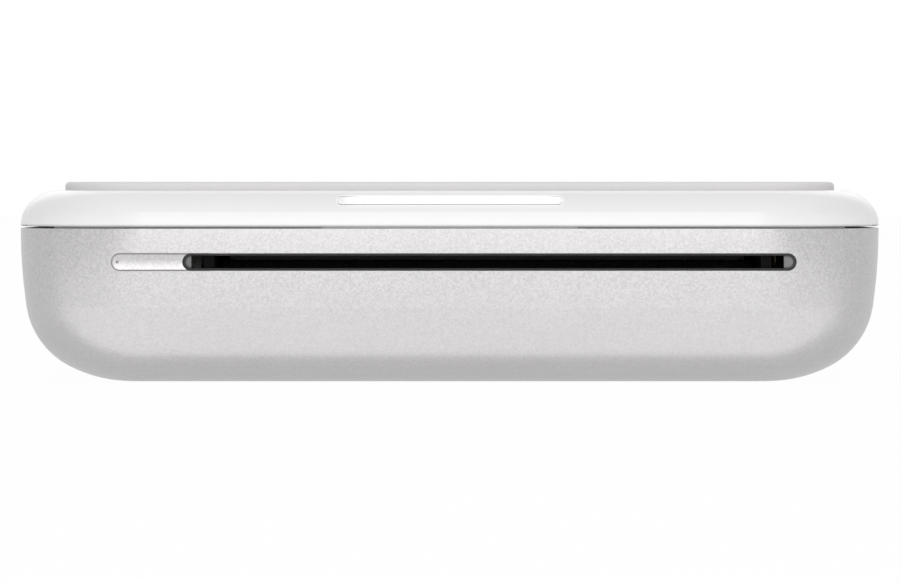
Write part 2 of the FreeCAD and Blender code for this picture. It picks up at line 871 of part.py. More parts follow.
def inner_bezel():
    """The dark deck under the cover, with its rim, light window and hinge lugs."""
    body = new_body("inner_bezel")
    deck_inset = S.shell_wall + S.deck_gap
    pad(body, "z", deck_low, shell_top, plan_loop(deck_inset, S.rim_inset))
    pad(body, "z", shell_top, rim_top, plan_loop(S.rim_inset),
        plan_loop(S.rim_inset + S.rim_thickness))
    for sign in (-1, 1):
        middle = knuckle_place * sign
        notch = S.knuckle_width / 2 + S.loose_gap
        for side in (-1, 1):
            inner = middle + side * notch
            outer = inner + side * S.lug_width
            low, high = (inner, outer) if side > 0 else (outer, inner)
            pad(body, "x", low, high, ring(hinge_y, hinge_z, S.knuckle_radius))
        reach = notch + S.lug_width + S.overrun
        pocket(body, "x", middle - notch, middle + notch,
               ring(hinge_y, hinge_z, S.knuckle_radius + S.loose_gap))
        pocket(body, "x", middle - reach, middle + reach,
               ring(hinge_y, hinge_z, S.hinge_pin_radius))
    window = S.light_guide_length / 2 + S.seat_gap
    guide_front = guide_face - S.seat_gap
    pocket(body, "z", deck_low - S.overrun, rim_top + S.overrun, box_loop(
        -window, window, guide_front, guide_face + S.light_guide_depth + S.seat_gap))
    pocket(body, "z", deck_low - S.overrun, shell_top + S.overrun, round_loop(
        wall_left, wall_right, S.bezel_front_margin - half_depth, tray_back + S.chassis_wall,
        S.bezel_corner))
    pocket(body, "z", deck_low - S.overrun, shell_top + S.overrun,
           *rings(case_bosses, S.screw_radius))
    pocket(body, "z", deck_low - S.overrun, shell_top + S.overrun,
           *rings(stay_screw_places(), S.small_screw_radius))
    pocket(body, "z", shell_top - S.keeper_thickness, shell_top + S.overrun,
           *rings(magnet_places(), S.magnet_radius))


guide_face = S.shell_wall + S.loose_gap - half_depth


def magnet_places():
    return [((half_width - S.magnet_side_margin) * sign, S.magnet_front_margin - half_depth)
            for sign in (-1, 1)]


def stay_screw_places():
    return [(wall_left - S.stay_foot / 2 - S.stay_sheet, platen_place),
            (wall_right + S.stay_foot / 2 + S.stay_sheet, platen_place)]


def hinge_pins():
    """The two steel pins of the hinge."""
    body = new_body("hinge_pins")
    for sign in (-1, 1):
        middle = knuckle_place * sign
        reach = S.knuckle_width / 2 + S.loose_gap + S.lug_width
        pad(body, "x", middle - reach, middle + reach, ring(hinge_y, hinge_z, S.hinge_pin_radius))


def cover_liner():
    """The plate inside the cover, with hinge knuckles and the pressure plate's fingers."""
    body = new_body("cover_liner")
    pad(body, "z", liner_low, ceiling, plan_loop(S.liner_inset))
    neck_front = hinge_y - S.knuckle_radius * 2
    for sign in (-1, 1):
        middle = knuckle_place * sign
        half = S.knuckle_width / 2
        pad(body, "x", middle - half, middle + half, ring(hinge_y, hinge_z, S.knuckle_radius))
        pad(body, "x", middle - half, middle + half, box_loop(
            neck_front, hinge_y, liner_low, hinge_z + S.knuckle_radius))
        for side in (-1, 1):
            inner = middle + side * (half + S.loose_gap / 2)
            outer = middle + side * (half + S.lug_width + 2 * S.loose_gap)
            low, high = (inner, outer) if side > 0 else (outer, inner)
            pocket(body, "x", low, high,
                   ring(hinge_y, hinge_z, S.knuckle_radius + S.loose_gap))
        pocket(body, "x", middle - half - S.loose_gap / 2, middle + half + S.loose_gap / 2,
               ring(hinge_y, hinge_z, S.hinge_pin_radius + S.bore_gap))
    for sign in (-1, 1):
        for place in tab_places():
            edge = S.paper_middle + sign * plate_half
            inner = edge + sign * (S.tab_reach + S.loose_gap)
            outer = inner + sign * S.finger_thickness
            low, high = (inner, outer) if sign > 0 else (outer, inner)
            hook_low = tab_low - S.hook_thickness - S.seat_gap
            span = S.finger_depth / 2
            pad(body, "z", hook_low, liner_low, box_loop(low, high, place - span, place + span))
            tip = inner - sign * S.hook_reach
            low, high = (tip, inner) if sign > 0 else (inner, tip)
            pad(body, "z", hook_low, hook_low + S.hook_thickness,
                box_loop(low, high, place - span, place + span))
    pocket(body, "z", liner_low, liner_low + S.magnet_thickness,
           *rings(magnet_places(), S.magnet_radius))
    pocket(body, "z", liner_low - S.overrun, ceiling + S.overrun,
           *rings(liner_screw_places(), S.small_screw_radius))


plate_half = paper_half - S.plate_side_gap
plate_front = tray_front + S.plate_front_gap
plate_middle = plate_front + S.plate_depth / 2
plate_top = S.plate_low + S.plate_thickness
tab_low = plate_top


def tab_places():
    spread = S.plate_depth / 2 - S.tab_margin
    return [plate_middle - spread, plate_middle + spread]


def pressure_plate():
    """The sprung plate that presses the paper stack onto the pickup tyres."""
    body = new_body("pressure_plate")
    half = plate_half
    back = plate_front + S.plate_depth
    pad(body, "z", S.plate_low, plate_top, round_loop(
        S.paper_middle - half, S.paper_middle + half, plate_front, back, S.plate_corner))
    tabs = [box_loop(S.paper_middle - half - S.tab_reach, S.paper_middle + half + S.tab_reach,
                     place - S.tab_depth / 2, place + S.tab_depth / 2) for place in tab_places()]
    pad(body, "z", tab_low, tab_low + S.tab_thickness, *tabs)
    seat = S.plate_spring_radius + 2 * S.plate_spring_wire
    seats = [ring(x, y, seat) for x, y in plate_spring_places()]
    bores = [ring(x, y, seat - S.plate_rib) for x, y in plate_spring_places()]
    pad(body, "z", plate_top, plate_top + S.plate_rib, *seats, *bores)


def plate_spring_places():
    spread = plate_half - S.plate_spring_margin
    return [(S.paper_middle + spread * sign, plate_middle) for sign in (-1, 1)]


# Chassis and paper path

def chassis():
    """The moulded tray and engine frame."""
    body = new_body("chassis")
    low, high = S.floor_level, floor_top
    engine_front = platen_place + S.platen_radius + S.roller_gap
    engine_end = motor_place + S.motor_radius + S.bracket_margin
    back = tray_back + S.chassis_wall
    pad(body, "z", low, high, box_loop(wall_left, wall_right, engine_front, back))
    walls = [box_loop(wall_left, well_left, sill_front, back),
             box_loop(well_right, wall_right, sill_front, back)]
    pad(body, "z", low, wall_top, *walls)
    pad(body, "z", low, wall_top, box_loop(wall_left, wall_right, tray_back, back))
    sill_back = platen_place - S.platen_radius - S.roller_gap
    bearing_front = sill_back - S.chassis_wall
    bearings = [box_loop(wall_left, well_left, bearing_front, engine_end),
                box_loop(well_right, wall_right, bearing_front, engine_end)]
    pad(body, "z", S.chassis_wall_low, low, *bearings)
    sill_top = S.slot_level - S.mouth_height / 2
    pad(body, "z", low, sill_top, box_loop(wall_left, wall_right, sill_front, sill_back))
    ramp = [(tray_front, high, None), (engine_front, high + S.ramp_rise, None),
            (engine_front, high, None)]
    pad(body, "x", well_left, well_right, list(reversed(ramp)))
    for x, y in chassis_posts:
        pad(body, "z", low, high, ring(x, y, S.ear_radius))
    reach = S.ear_radius
    ears = [box_loop(left_post_x, wall_left, y - reach, y + reach)
            for y in (left_post_front, left_post_back)]
    ears += [box_loop(wall_right, right_post_x, y - reach, y + reach)
             for y in (right_post_front, right_post_back)]
    pad(body, "z", low, high, *ears)
    pocket(body, "z", low - S.overrun, high + S.overrun, *rings(chassis_posts, S.screw_radius))
    for x, y in bracket_posts():
        pad(body, "x", bracket_right, wall_left, ring(x, y, S.bracket_post_radius))
    window = S.tyre_radius + S.window_gap
    windows = [box_loop(x - S.tyre_width / 2 - S.window_gap, x + S.tyre_width / 2 + S.window_gap,
                        pickup_place - window, pickup_place + window) for x in tyre_places()]
    pocket(body, "z", low - S.overrun, high + S.overrun, *windows)
    pocket(body, "x", wall_left - S.overrun, wall_right + S.overrun,
           ring(platen_place, axle_level, S.platen_bush_radius),
           ring(pickup_place, axle_level, S.pickup_bush_radius),
           ring(pivot_place, S.pivot_level, S.pivot_radius))
    pins = [ring(y, axle_level, S.gear_pin_radius) for y in idler_places + [reduction_place]]
    pocket(body, "x", wall_left - S.overrun, well_left + S.seat_gap, *pins)
    holes = [ring(y, z, S.small_screw_radius) for y, z in bracket_posts()]
    pocket(body, "x", bracket_left, bracket_left + S.small_screw_length, *holes)


def tyre_places():
    return [S.paper_middle - tyre_spread, S.paper_middle + tyre_spread]


def bracket_posts():
    y = motor_place + S.motor_radius + S.bracket_post_gap
    return [(y, axle_level - S.bracket_post_spread / 2),
            (y, axle_level + S.bracket_post_spread / 2)]


def exit_guide():
    """The dark upper lip that leads the print out to the slot."""
    body = new_body("exit_guide")
    low = S.slot_level + S.mouth_height / 2 + S.seat_gap
    front = sill_front
    back = platen_place - S.platen_radius - S.guide_gap
    high = deck_low - S.light_board_thickness - S.seat_gap
    loop = [(front, low, None), (back, low + S.guide_rise, None),
            (back, high, None), (front, high, None)]
    pad(body, "x", well_left, well_right, loop)


def bushes(name, place, outer, inner):
    """A pair of bearing bushes pressed into the chassis walls."""
    body = new_body(name)
    loops = (ring(place, axle_level, outer), ring(place, axle_level, inner))
    pad(body, "x", wall_left, well_left + S.bush_stand, *loops)
    pad(body, "x", well_right - S.bush_stand, wall_right, *loops)


# Print roller, pickup roller and gears

def roller_place(y):
    return (0, y, axle_level)


def platen():
    """The print roller's shaft and its rubber sleeve."""
    shaft = new_body("platen_shaft", roller_place(platen_place))
    pad(shaft, "x", near_gear_left, wall_right + S.platen_end_gap,
        ring(0, 0, S.platen_shaft_radius))
    sleeve = new_body("platen_sleeve", roller_place(platen_place))
    pad(sleeve, "x", well_left + S.platen_end_gap, well_right - S.platen_end_gap,
        ring(0, 0, S.platen_radius), ring(0, 0, S.platen_shaft_radius))


def pickup():
    """The pickup roller's shaft and its two tyres."""
    shaft = new_body("pickup_shaft", roller_place(pickup_place))
    pad(shaft, "x", near_gear_left, wall_right + S.platen_end_gap,
        ring(0, 0, S.pickup_shaft_radius))
    tyres = new_body("pickup_tyres", roller_place(pickup_place))
    for x in tyre_places():
        half = S.tyre_width / 2
        pad(tyres, "x", x - half, x + half, ring(0, 0, S.tyre_radius),
            ring(0, 0, S.pickup_shaft_radius))
        pad(tyres, "x", x - half - S.window_gap / 2, x + half + S.window_gap / 2,
            ring(0, 0, S.tyre_hub_radius), ring(0, 0, S.pickup_shaft_radius))


def add_teeth(body, left, right, count, bore):
    """A gear between two levels of its axis: a disc, one tooth and its pattern."""
    pitch_radius = S.gear_module * count / 2
    tip = pitch_radius + TOOTH_TIP_SHARE * S.gear_module
    foot = pitch_radius - TOOTH_ROOT_SHARE * S.gear_module
    half = S.gear_module * (math.pi * TOOTH_WIDTH_SHARE / 2)
    tip_half = half - S.gear_module * (TOOTH_TIP_SHARE * TIP_SLOPE_SHARE)
    foot_half = half + S.gear_module * (TOOTH_ROOT_SHARE * ROOT_SLOPE_SHARE)
    disc = [ring(0, 0, foot)] + ([ring(0, 0, bore)] if bore else [])
    pad(body, "x", left, right, *disc)
    heel = foot - S.gear_module * GEAR_HEEL_SHARE
    tooth = pad(body, "x", left, right, [
        (heel, -foot_half, None), (foot, -foot_half, None), (tip, -tip_half, None),
        (tip, tip_half, None), (foot, foot_half, None), (heel, foot_half, None)])
    pattern = body.newObject("PartDesign::PolarPattern", body.Label + "_teeth")
    pattern.Originals = [tooth]
    pattern.Axis = (origin_plane(body, "X_Axis"), [""])
    pattern.Angle = FULL_TURN
    pattern.Occurrences = count
    body.Tip = pattern


def gear(name, place, count, bore, mesh_gap):
    """A gear in the near plane, turned so that a tooth or a gap faces its neighbours."""
    body = new_body(name, roller_place(place))
    add_teeth(body, near_gear_left, near_gear_right, count, bore)
    set_phase(body, count, mesh_gap)
    return body


def set_phase(body, count, mesh_gap):
    """Turn a gear by half a tooth where a gap faces its neighbour."""
    turn = HALF_TURN / count if mesh_gap else 0
    body.Placement = Placement(body.Placement.Base, Rotation(Vector(1, 0, 0), turn))


def gears():
    """The train from the motor pinion to the print roller."""
    running = S.gear_pin_radius + S.bore_gap
    gear("platen_gear", platen_place, PLATEN_TEETH, S.platen_shaft_radius, False)
    for number, place in enumerate(idler_places, start=1):
        gear("idler_gear_%d" % number, place, IDLER_TEETH, running, number != 2)
    gear("pickup_gear", pickup_place, PICKUP_TEETH, S.pickup_shaft_radius, False)
    big = new_body("reduction_gear", roller_place(reduction_place))
    add_teeth(big, far_gear_left, far_gear_right, BIG_TEETH, running)
    small = S.gear_module * (SMALL_TEETH - 2 * TOOTH_ROOT_SHARE) / 2
    pad(big, "x", far_gear_right, near_gear_right, ring(0, 0, small), ring(0, 0, running))
    hub_teeth(big)
    pinion = new_body("motor_pinion", roller_place(motor_place))
    add_teeth(pinion, far_gear_left, far_gear_right, PINION_TEETH, None)
    set_phase(pinion, PINION_TEETH, True)
    pad(pinion, "x", bracket_left, far_gear_left, ring(0, 0, S.motor_shaft_radius))


def hub_teeth(body):
    """The small gear of the reduction pair, half a tooth round from the big one."""
    angle = math.pi / SMALL_TEETH
    foot = S.gear_module * (SMALL_TEETH - 2 * TOOTH_ROOT_SHARE) / 2
    tip = S.gear_module * (SMALL_TEETH + 2 * TOOTH_TIP_SHARE) / 2
    half = S.gear_module * (math.pi * TOOTH_WIDTH_SHARE / 2)
    tip_half = half - S.gear_module * (TOOTH_TIP_SHARE * TIP_SLOPE_SHARE)
    foot_half = half + S.gear_module * (TOOTH_ROOT_SHARE * ROOT_SLOPE_SHARE)
    heel = foot - S.gear_module * GEAR_HEEL_SHARE
    corners = [(heel, -foot_half), (foot, -foot_half), (tip, -tip_half),
               (tip, tip_half), (foot, foot_half), (heel, foot_half)]
    across = size_of(math.cos(angle))
    along = size_of(math.sin(angle))
    loop = [(x * across - y * along, x * along + y * across, None) for x, y in corners]
    tooth = pad(body, "x", near_gear_left, near_gear_right, loop)
    pattern = body.newObject("PartDesign::PolarPattern", body.Label + "_hub_teeth")
    pattern.Originals = [tooth]
    pattern.Axis = (origin_plane(body, "X_Axis"), [""])
    pattern.Angle = FULL_TURN
    pattern.Occurrences = SMALL_TEETH
    body.Tip = pattern


def gear_pins():
    """The fixed steel pins of the idlers and of the reduction gear."""
    body = new_body("gear_pins")
    head_right = near_gear_left - S.seat_gap
    shanks = [ring(y, axle_level, S.gear_pin_radius) for y in idler_places]
    heads = [ring(y, axle_level, S.pin_head_radius) for y in idler_places]
    pad(body, "x", head_right, well_left, *shanks)
    pad(body, "x", head_right - S.pin_head_height, head_right, *heads)
    pad(body, "x", bracket_left, well_left, ring(reduction_place, axle_level, S.gear_pin_radius))


def drive_motor():
    """The stepper motor on its bracket."""
    body = new_body("drive_motor", roller_place(motor_place))
    pad(body, "x", motor_left, bracket_left, ring(0, 0, S.motor_radius))
    block = S.motor_radius * MOTOR_BLOCK_SHARE
    pad(body, "x", motor_left + block, bracket_left - block,
        box_loop(0, S.motor_radius + S.motor_block_reach, -block, block))
    pad(body, "x", motor_left - S.motor_collar_height, motor_left,
        ring(0, 0, S.motor_collar_radius))


def motor_bracket():
    """The steel plate that carries the motor."""
    body = new_body("motor_bracket")
    post_y = bracket_posts()[0][0]
    half = S.bracket_height / 2
    front = reduction_place - S.bracket_margin
    pad(body, "x", bracket_left, bracket_right, round_loop(
        front, post_y + S.bracket_post_radius, axle_level - half, axle_level + half,
        S.bracket_post_radius))
    holes = [ring(y, z, S.small_screw_radius) for y, z in bracket_posts()]
    pocket(body, "x", bracket_left - S.overrun, bracket_right + S.overrun,
           ring(motor_place, axle_level, S.motor_shaft_radius + S.bore_gap * 2),
           ring(reduction_place, axle_level, S.gear_pin_radius), *holes)


# Thermal print head

head_left = well_left + S.head_end_gap
head_right = well_right - S.head_end_gap
strip_low = S.slot_level + S.head_strip_gap
strip_top = strip_low + S.head_strip_thickness
plate_high = strip_top + S.head_plate_thickness
head_back = pivot_place - S.pivot_ear_radius - S.bracket_post_gap / 2
head_front = head_back - S.head_plate_depth


def print_head():
    """The ceramic print strip under its aluminium plate, hung on the pivot rod."""
    plate = new_body("head_plate")
    pad(plate, "z", strip_top, plate_high, box_loop(head_left, head_right, head_front, head_back))
    rib_back = head_front + S.head_rib_width
    pad(plate, "z", plate_high, plate_high + S.head_rib_height,
        box_loop(head_left, head_right, head_front, rib_back))
    arm_front = head_back - S.pivot_ear_width
    for left in (head_left, head_right - S.pivot_ear_width):
        right = left + S.pivot_ear_width
        pad(plate, "z", strip_top, plate_high, box_loop(left, right, arm_front, pivot_place))
        pad(plate, "x", left, right, ring(pivot_place, S.pivot_level, S.pivot_ear_radius))
    pocket(plate, "x", head_left - S.overrun, head_right + S.overrun,
           ring(pivot_place, S.pivot_level, S.pivot_radius + S.bore_gap))
    strip = new_body("head_strip")
    strip_front = head_front + S.head_strip_setback
    pad(strip, "z", strip_low, strip_top, box_loop(
        head_left, head_right, strip_front, strip_front + S.head_strip_depth))


def head_pivot_rod():
    """The rod across the chassis that the print head tilts on."""
    body = new_body("head_pivot_rod")
    pad(body, "x", wall_left, wall_right, ring(pivot_place, S.pivot_level, S.pivot_radius))


def head_stay():
    """The bent steel bridge that the head springs push against."""
    body = new_body("head_stay")
    low = plate_high + S.head_spring_height
    foot_top = shell_top + S.stay_sheet
    left, right = wall_left, wall_right
    outer_left, outer_right = left - S.stay_sheet, right + S.stay_sheet
    loop = [
        (outer_left - S.stay_foot, shell_top, None), (left, shell_top, None),
        (left, low, None), (right, low, None), (right, shell_top, None),
        (outer_right + S.stay_foot, shell_top, None),
        (outer_right + S.stay_foot, foot_top, None), (outer_right, foot_top, None),
        (outer_right, low + S.stay_sheet, None), (outer_left, low + S.stay_sheet, None),
        (outer_left, foot_top, None), (outer_left - S.stay_foot, foot_top, None),
    ]
    half = S.stay_depth / 2
    pad(body, "y", platen_place - half, platen_place + half, loop)
    pocket(body, "z", shell_top - S.overrun, foot_top + S.overrun,
           *rings(stay_screw_places(), S.small_screw_radius))


# Screws

def screws(name, places, seat, radius, length, head_radius, head_height, drive):
    """A set of like screws, heads up, each with a crossed drive recess."""
    body = new_body(name)
    pad(body, "z", seat - length, seat, *rings(places, radius))
    pad(body, "z", seat, seat + head_height, *rings(places, head_radius))
    half = S.screw_drive_width / 2
    top = seat + head_height
    low = top - S.screw_drive_depth
    pocket(body, "z", low, top, *[box_loop(x - drive / 2, x + drive / 2, y - half, y + half)
                                  for x, y in places])
    pocket(body, "z", low, top, *[box_loop(x - half, x + half, y - drive / 2, y + drive / 2)
                                  for x, y in places])


def small_screws(name, places, seat, length):
    screws(name, places, seat, S.small_screw_radius, length, S.small_screw_head_radius,
           S.small_screw_head_height, S.small_screw_drive_length)


def all_screws():
    """Every set of screws whose heads face up."""
    for name, places, seat in (("case_screws", case_bosses, shell_top),
                               ("chassis_screws", chassis_posts, floor_top)):
        screws(name, places, seat, S.screw_radius, S.screw_length - S.deck_thickness,
               S.screw_head_radius, S.screw_head_height, S.screw_drive_length)
    small_screws("board_screws", board_posts, board_top, S.small_screw_length)
    small_screws("stay_screws", stay_screw_places(), shell_top + S.stay_sheet,
                 S.stay_sheet + S.deck_thickness)


def liner_screws():
    """The screws that hold the liner to the cover, heads down."""
    body = new_body("liner_screws")
    places = liner_screw_places()
    head_low = liner_low - S.small_screw_head_height / 2
    pad(body, "z", liner_low, liner_low + S.liner_screw_length,
        *rings(places, S.small_screw_radius))
    pad(body, "z", head_low, liner_low, *rings(places, S.small_screw_head_radius))


def bracket_screws():
    """The two screws of the motor bracket, heads towards the motor side."""
    body = new_body("bracket_screws")
    places = [ring(y, z, S.small_screw_radius) for y, z in bracket_posts()]
    heads = [ring(y, z, S.small_screw_head_radius) for y, z in bracket_posts()]
    pad(body, "x", bracket_left, bracket_left + S.small_screw_length, *places)
    pad(body, "x", bracket_left - S.small_screw_head_height, bracket_left, *heads)


# Coil springs

def coil(radius, wire, height, turns):
    """An upright coil of round wire, drawn as arcs, with its ends at both levels."""
    rise = (height - wire) / turns
    points = []
    for step in range(2 * COIL_ARCS * turns + 1):
        angle = math.pi * step / COIL_ARCS
        level = wire / 2 + rise * angle / math.tau
        points.append(Vector(radius * math.cos(angle), radius * math.sin(angle), level))
    arcs = [Part.Arc(*points[first:first + ARC_POINTS]).toShape()
            for first in range(0, len(points) - 1, 2)]
    path = Part.Wire(arcs)
    start = Part.Wire([Part.makeCircle(wire / 2, points[0], Vector(0, 1, rise / math.tau / radius))])
    tube = path.makePipeShell([start], True, False)
    gap = rise - wire
    print("coil of %d turns, least gap to itself %.2f mm" % (turns, gap))
    return tube


def spring_set(name, places, base, radius, wire, height, turns):
    """A Part::Feature that holds like coils, each at its own place."""
    shapes = []
    for x, y in places:
        tube = coil(radius.number, wire.number, height.number, turns)
        tube.translate(Vector(x.number, y.number, 0))
        shapes.append(tube)
    feature = doc.addObject("Part::Feature", name)
    feature.Label = name
    feature.Shape = Part.Compound(shapes)
    feature.Placement = Placement(Vector(0, 0, base.number), Rotation())
    pieces.append(feature)


def springs():
    """The print head's two springs and the pressure plate's two springs."""
    spread = (head_right - head_left) / 2 - S.head_spring_margin
    places = [(S.paper_middle + spread * sign, platen_place) for sign in (-1, 1)]
    spring_set("head_springs", places, plate_high, S.head_spring_radius, S.head_spring_wire,
               S.head_spring_height, HEAD_SPRING_TURNS)
    spring_set("plate_springs", plate_spring_places(), plate_top, S.plate_spring_radius,
               S.plate_spring_wire, liner_low - plate_top, PLATE_SPRING_TURNS)


# Battery, boards and leads

def battery():
    """The flat cell on its foam pad."""
    left, right = well_left + S.battery_left_gap, well_right - S.battery_right_gap
    front, back = pickup_place + S.battery_front_gap, battery_back
    inset = S.battery_pad_inset
    cushion = new_body("battery_pad")
    pad(cushion, "z", S.shell_wall, battery_low, box_loop(
        left + inset, right - inset, front + inset, back - inset))
    cell = new_body("battery")
    pad(cell, "y", front, back, round_loop(
        left, right, battery_low, battery_low + S.battery_thickness, S.battery_corner))


battery_low = S.shell_wall + S.battery_pad_thickness
battery_back = board_front - S.battery_back_gap


def route_tube(points, radius):
    """A round lead along straight runs joined by tangent arcs."""
    edges = []
    place = points[0]
    for before, corner, after in zip(points, points[1:], points[2:]):
        entering = (corner - before).normalize()
        leaving = (after - corner).normalize()
        turn = entering.getAngle(leaving)
        run = min((corner - before).Length, (after - corner).Length)
        cut = BEND_RUN_SHARE * run
        bend = cut / math.tan(turn / 2)
        print("lead bend radius %.2f mm" % bend)
        first = corner - entering * cut
        last = corner + leaving * cut
        inward = (leaving - entering).normalize()
        middle = corner + inward * (bend / math.cos(turn / 2) - bend)
        edges.append(Part.LineSegment(place, first).toShape())
        edges.append(Part.Arc(first, middle, last).toShape())
        place = last
    edges.append(Part.LineSegment(place, points[-1]).toShape())
    start = Part.Wire([Part.makeCircle(radius, points[0], points[1] - points[0])])
    tube = Part.Wire(edges).makePipeShell([start], True, False)
    length = sum(edge.Length for edge in edges)
    print("lead length %.1f mm, volume against section times length %.4f"
          % (length, tube.Volume / (math.pi * radius ** 2 * length)))
    return tube


def lead_set(name, routes, radius):
    """A Part::Feature that holds one lead per route."""
    feature = doc.addObject("Part::Feature", name)
    feature.Label = name
    tubes = [route_tube([Vector(*[size_of(value).number for value in point])
                         for point in route], radius.number) for route in routes]
    feature.Shape = Part.Compound(tubes) if len(tubes) > 1 else tubes[0]
    pieces.append(feature)


def leads():
    """The battery's two leads and the motor's sheathed lead, along their real routes."""
    start = battery_back
    level = battery_low + S.battery_thickness / 2
    plug_level = board_top + S.plug_height / 2
    routes = []
    for sign in (-1, 1):
        x = battery_plug_x + sign * S.lead_spacing / 2
        routes.append([
            (x, start, level), (x, start + S.lead_run, level),
            (x, start + S.lead_run + S.lead_climb, plug_level), (x, plug_front, plug_level)])
    lead_set("battery_leads", routes, S.lead_radius)
    motor_x = (motor_left + bracket_left) / 2
    first_y = motor_place + S.motor_radius + S.motor_block_reach
    run = left_post_back - first_y
    bow = S.boss_radius
    drop = axle_level - plug_level
    route = [(motor_x + bow * across, first_y + run * along, axle_level + drop * down)
             for across, along, down in MOTOR_LEAD_SHARES]
    turn_y = plug_front - S.lead_run * LEAD_TURN_SHARE
    route.append((motor_plug_x, turn_y, plug_level))
    route.append((motor_plug_x, plug_front, plug_level))
    lead_set("motor_lead", [route], S.motor_lead_radius)


plug_front = board_front + S.plug_setback
flex_tab_front = platen_place + S.flex_tab_gap
flex_tail_back = board_front + S.flex_tail_gap


def box(body, x, y, low, width, depth, height):
    """Add a block by the middle of its plan, its foot and its size."""
    return pad(body, "z", low, low + height, box_loop(
        x - width / 2, x + width / 2, y - depth / 2, y + depth / 2))


def main_board():
    """The circuit board and the parts soldered to it."""
    board = new_body("main_board")
    pad(board, "z", S.board_level, board_top,
        box_loop(board_left, board_right, board_front, board_back))
    pocket(board, "z", S.board_level - S.overrun, board_top + S.overrun,
           *rings(board_posts, S.small_screw_radius))
    chips = new_body("board_chips")
    for share, side in ((CHIP_SHARE, S.chip_size), (SMALL_CHIP_SHARE, S.small_chip_size)):
        box(chips, along_board(share), board_front + S.chip_gap, board_top, side, side,
            S.chip_height)
    radio = new_body("radio_module")
    box(radio, along_board(RADIO_SHARE), board_front + S.radio_gap, board_top,
        S.radio_width, S.radio_depth, S.radio_height)
    plugs = (("battery_plug", battery_plug_x, S.plug_width, S.plug_height),
             ("motor_plug", motor_plug_x, S.plug_width, S.plug_height))
    for name, x, width, height in plugs:
        plug = new_body(name)
        box(plug, x, plug_front + S.plug_depth / 2, board_top, width, S.plug_depth, height)
    socket = new_body("flex_socket")
    box(socket, flex_plug_x, flex_tail_back - S.flex_tail_depth / 2, board_top,
        S.flex_plug_width, S.flex_tail_depth + S.flex_bend, S.flex_plug_height)


def usb_port():
    """The micro-USB socket, a folded shell with its tongue."""
    body = new_body("usb_port")
    half = S.usb_width / 2
    back = half_depth - S.usb_setback
    front = back - S.usb_depth
    low, high = board_top, board_top + S.usb_height
    round_radius = S.usb_height * USB_ROUND_SHARE
    pad(body, "y", front, back, round_loop(
        usb_x - half, usb_x + half, low, high, round_radius))
    wall = S.usb_wall
    pocket(body, "y", front + wall, back + S.overrun, round_loop(
        usb_x - half + wall, usb_x + half - wall, low + wall, high - wall,
        round_radius - wall))
    pad(body, "y", front + wall / 2, back - wall * 2, box_loop(
        usb_x - half / 2, usb_x + half / 2,
        usb_level - S.usb_tongue / 2, usb_level + S.usb_tongue / 2))


def rear_controls():
    """The power button, the reset plunger, their switches and the charge light."""
    switch = new_body("power_switch")
    middle = switch_face - S.switch_depth / 2
    box(switch, button_x, middle, board_top, S.switch_width, S.switch_depth, S.switch_height)
    pad(switch, "y", switch_face, switch_face + S.switch_stem_length,
        ring(button_x, switch_level, S.switch_stem_radius))
    reset = new_body("reset_switch")
    box(reset, reset_x, middle, board_top, S.switch_width, S.switch_depth, S.switch_height)
    plunger = new_body("reset_button")
    start = switch_face + S.loose_gap
    pad(plunger, "y", start, start + S.reset_length, ring(reset_x, S.reset_level, S.reset_radius))
    button = new_body("power_button")
    button_back = half_depth - S.button_back_margin
    button_face = half_depth - S.button_setback
    half = S.button_width / 2
    pad(button, "y", button_back, button_face,
        capsule_loop(button_x - half, button_x + half, S.button_level, S.button_height))
    flange_half = half + S.button_flange
    low = S.button_level - S.button_height / 2 - S.button_skirt
    pad(button, "y", button_back, button_back + S.button_flange_thickness, box_loop(
        button_x - flange_half, button_x + flange_half, low,
        S.button_level + S.button_height / 2 + S.button_flange))
    pipe = new_body("charge_light_pipe")
    pipe_back = half_depth - S.pipe_back_margin
    pad(pipe, "y", pipe_back, half_depth - S.pipe_setback, ring(pipe_x, S.pipe_level, S.pipe_radius))
    half = S.pipe_radius
    pad(pipe, "z", board_top, S.pipe_level, box_loop(
        pipe_x - half, pipe_x + half, pipe_back - half, pipe_back + half))


switch_level = board_top + S.switch_height * SWITCH_STEM_SHARE


def head_flex_cable():
    """The folded flex cable from the print head to the main board."""
    body = new_body("head_flex_cable")
    sheet_left = wall_right + S.flex_side_gap
    sheet_right = sheet_left + S.flex_thickness
    top = S.flex_level + S.flex_width
    tail_front = flex_tail_back - S.flex_tail_depth
    pad(body, "z", S.flex_level, top,
        box_loop(sheet_left, sheet_right, flex_tab_front, tail_front))
    tab_level = plate_high + S.bore_gap
    inner, outer = S.flex_bend, S.flex_bend + S.flex_thickness
    rise = [
        (sheet_left, S.flex_level, None), (sheet_right, S.flex_level, None),
        (sheet_right, tab_level + S.flex_thickness - outer, None),
        (sheet_right - outer, tab_level + S.flex_thickness, outer),
        (head_right - S.flex_reach, tab_level + S.flex_thickness, None),
        (head_right - S.flex_reach, tab_level, None), (sheet_left - inner, tab_level, None),
        (sheet_left, tab_level - inner, -inner),
    ]
    pad(body, "y", flex_tab_front, flex_tab_front + S.flex_tab_depth, rise)
    plug_edge = flex_plug_x + S.flex_plug_width / 2
    level = S.flex_tail_level
    tail = [
        (sheet_right, top, None), (sheet_left, top, None), (sheet_left, level + outer, None),
        (sheet_left - inner, level + S.flex_thickness, -inner),
        (plug_edge, level + S.flex_thickness, None), (plug_edge, level, None),
        (sheet_left - inner, level, None), (sheet_right, level + outer, outer),
    ]
    pad(body, "y", tail_front, flex_tail_back, list(tail))


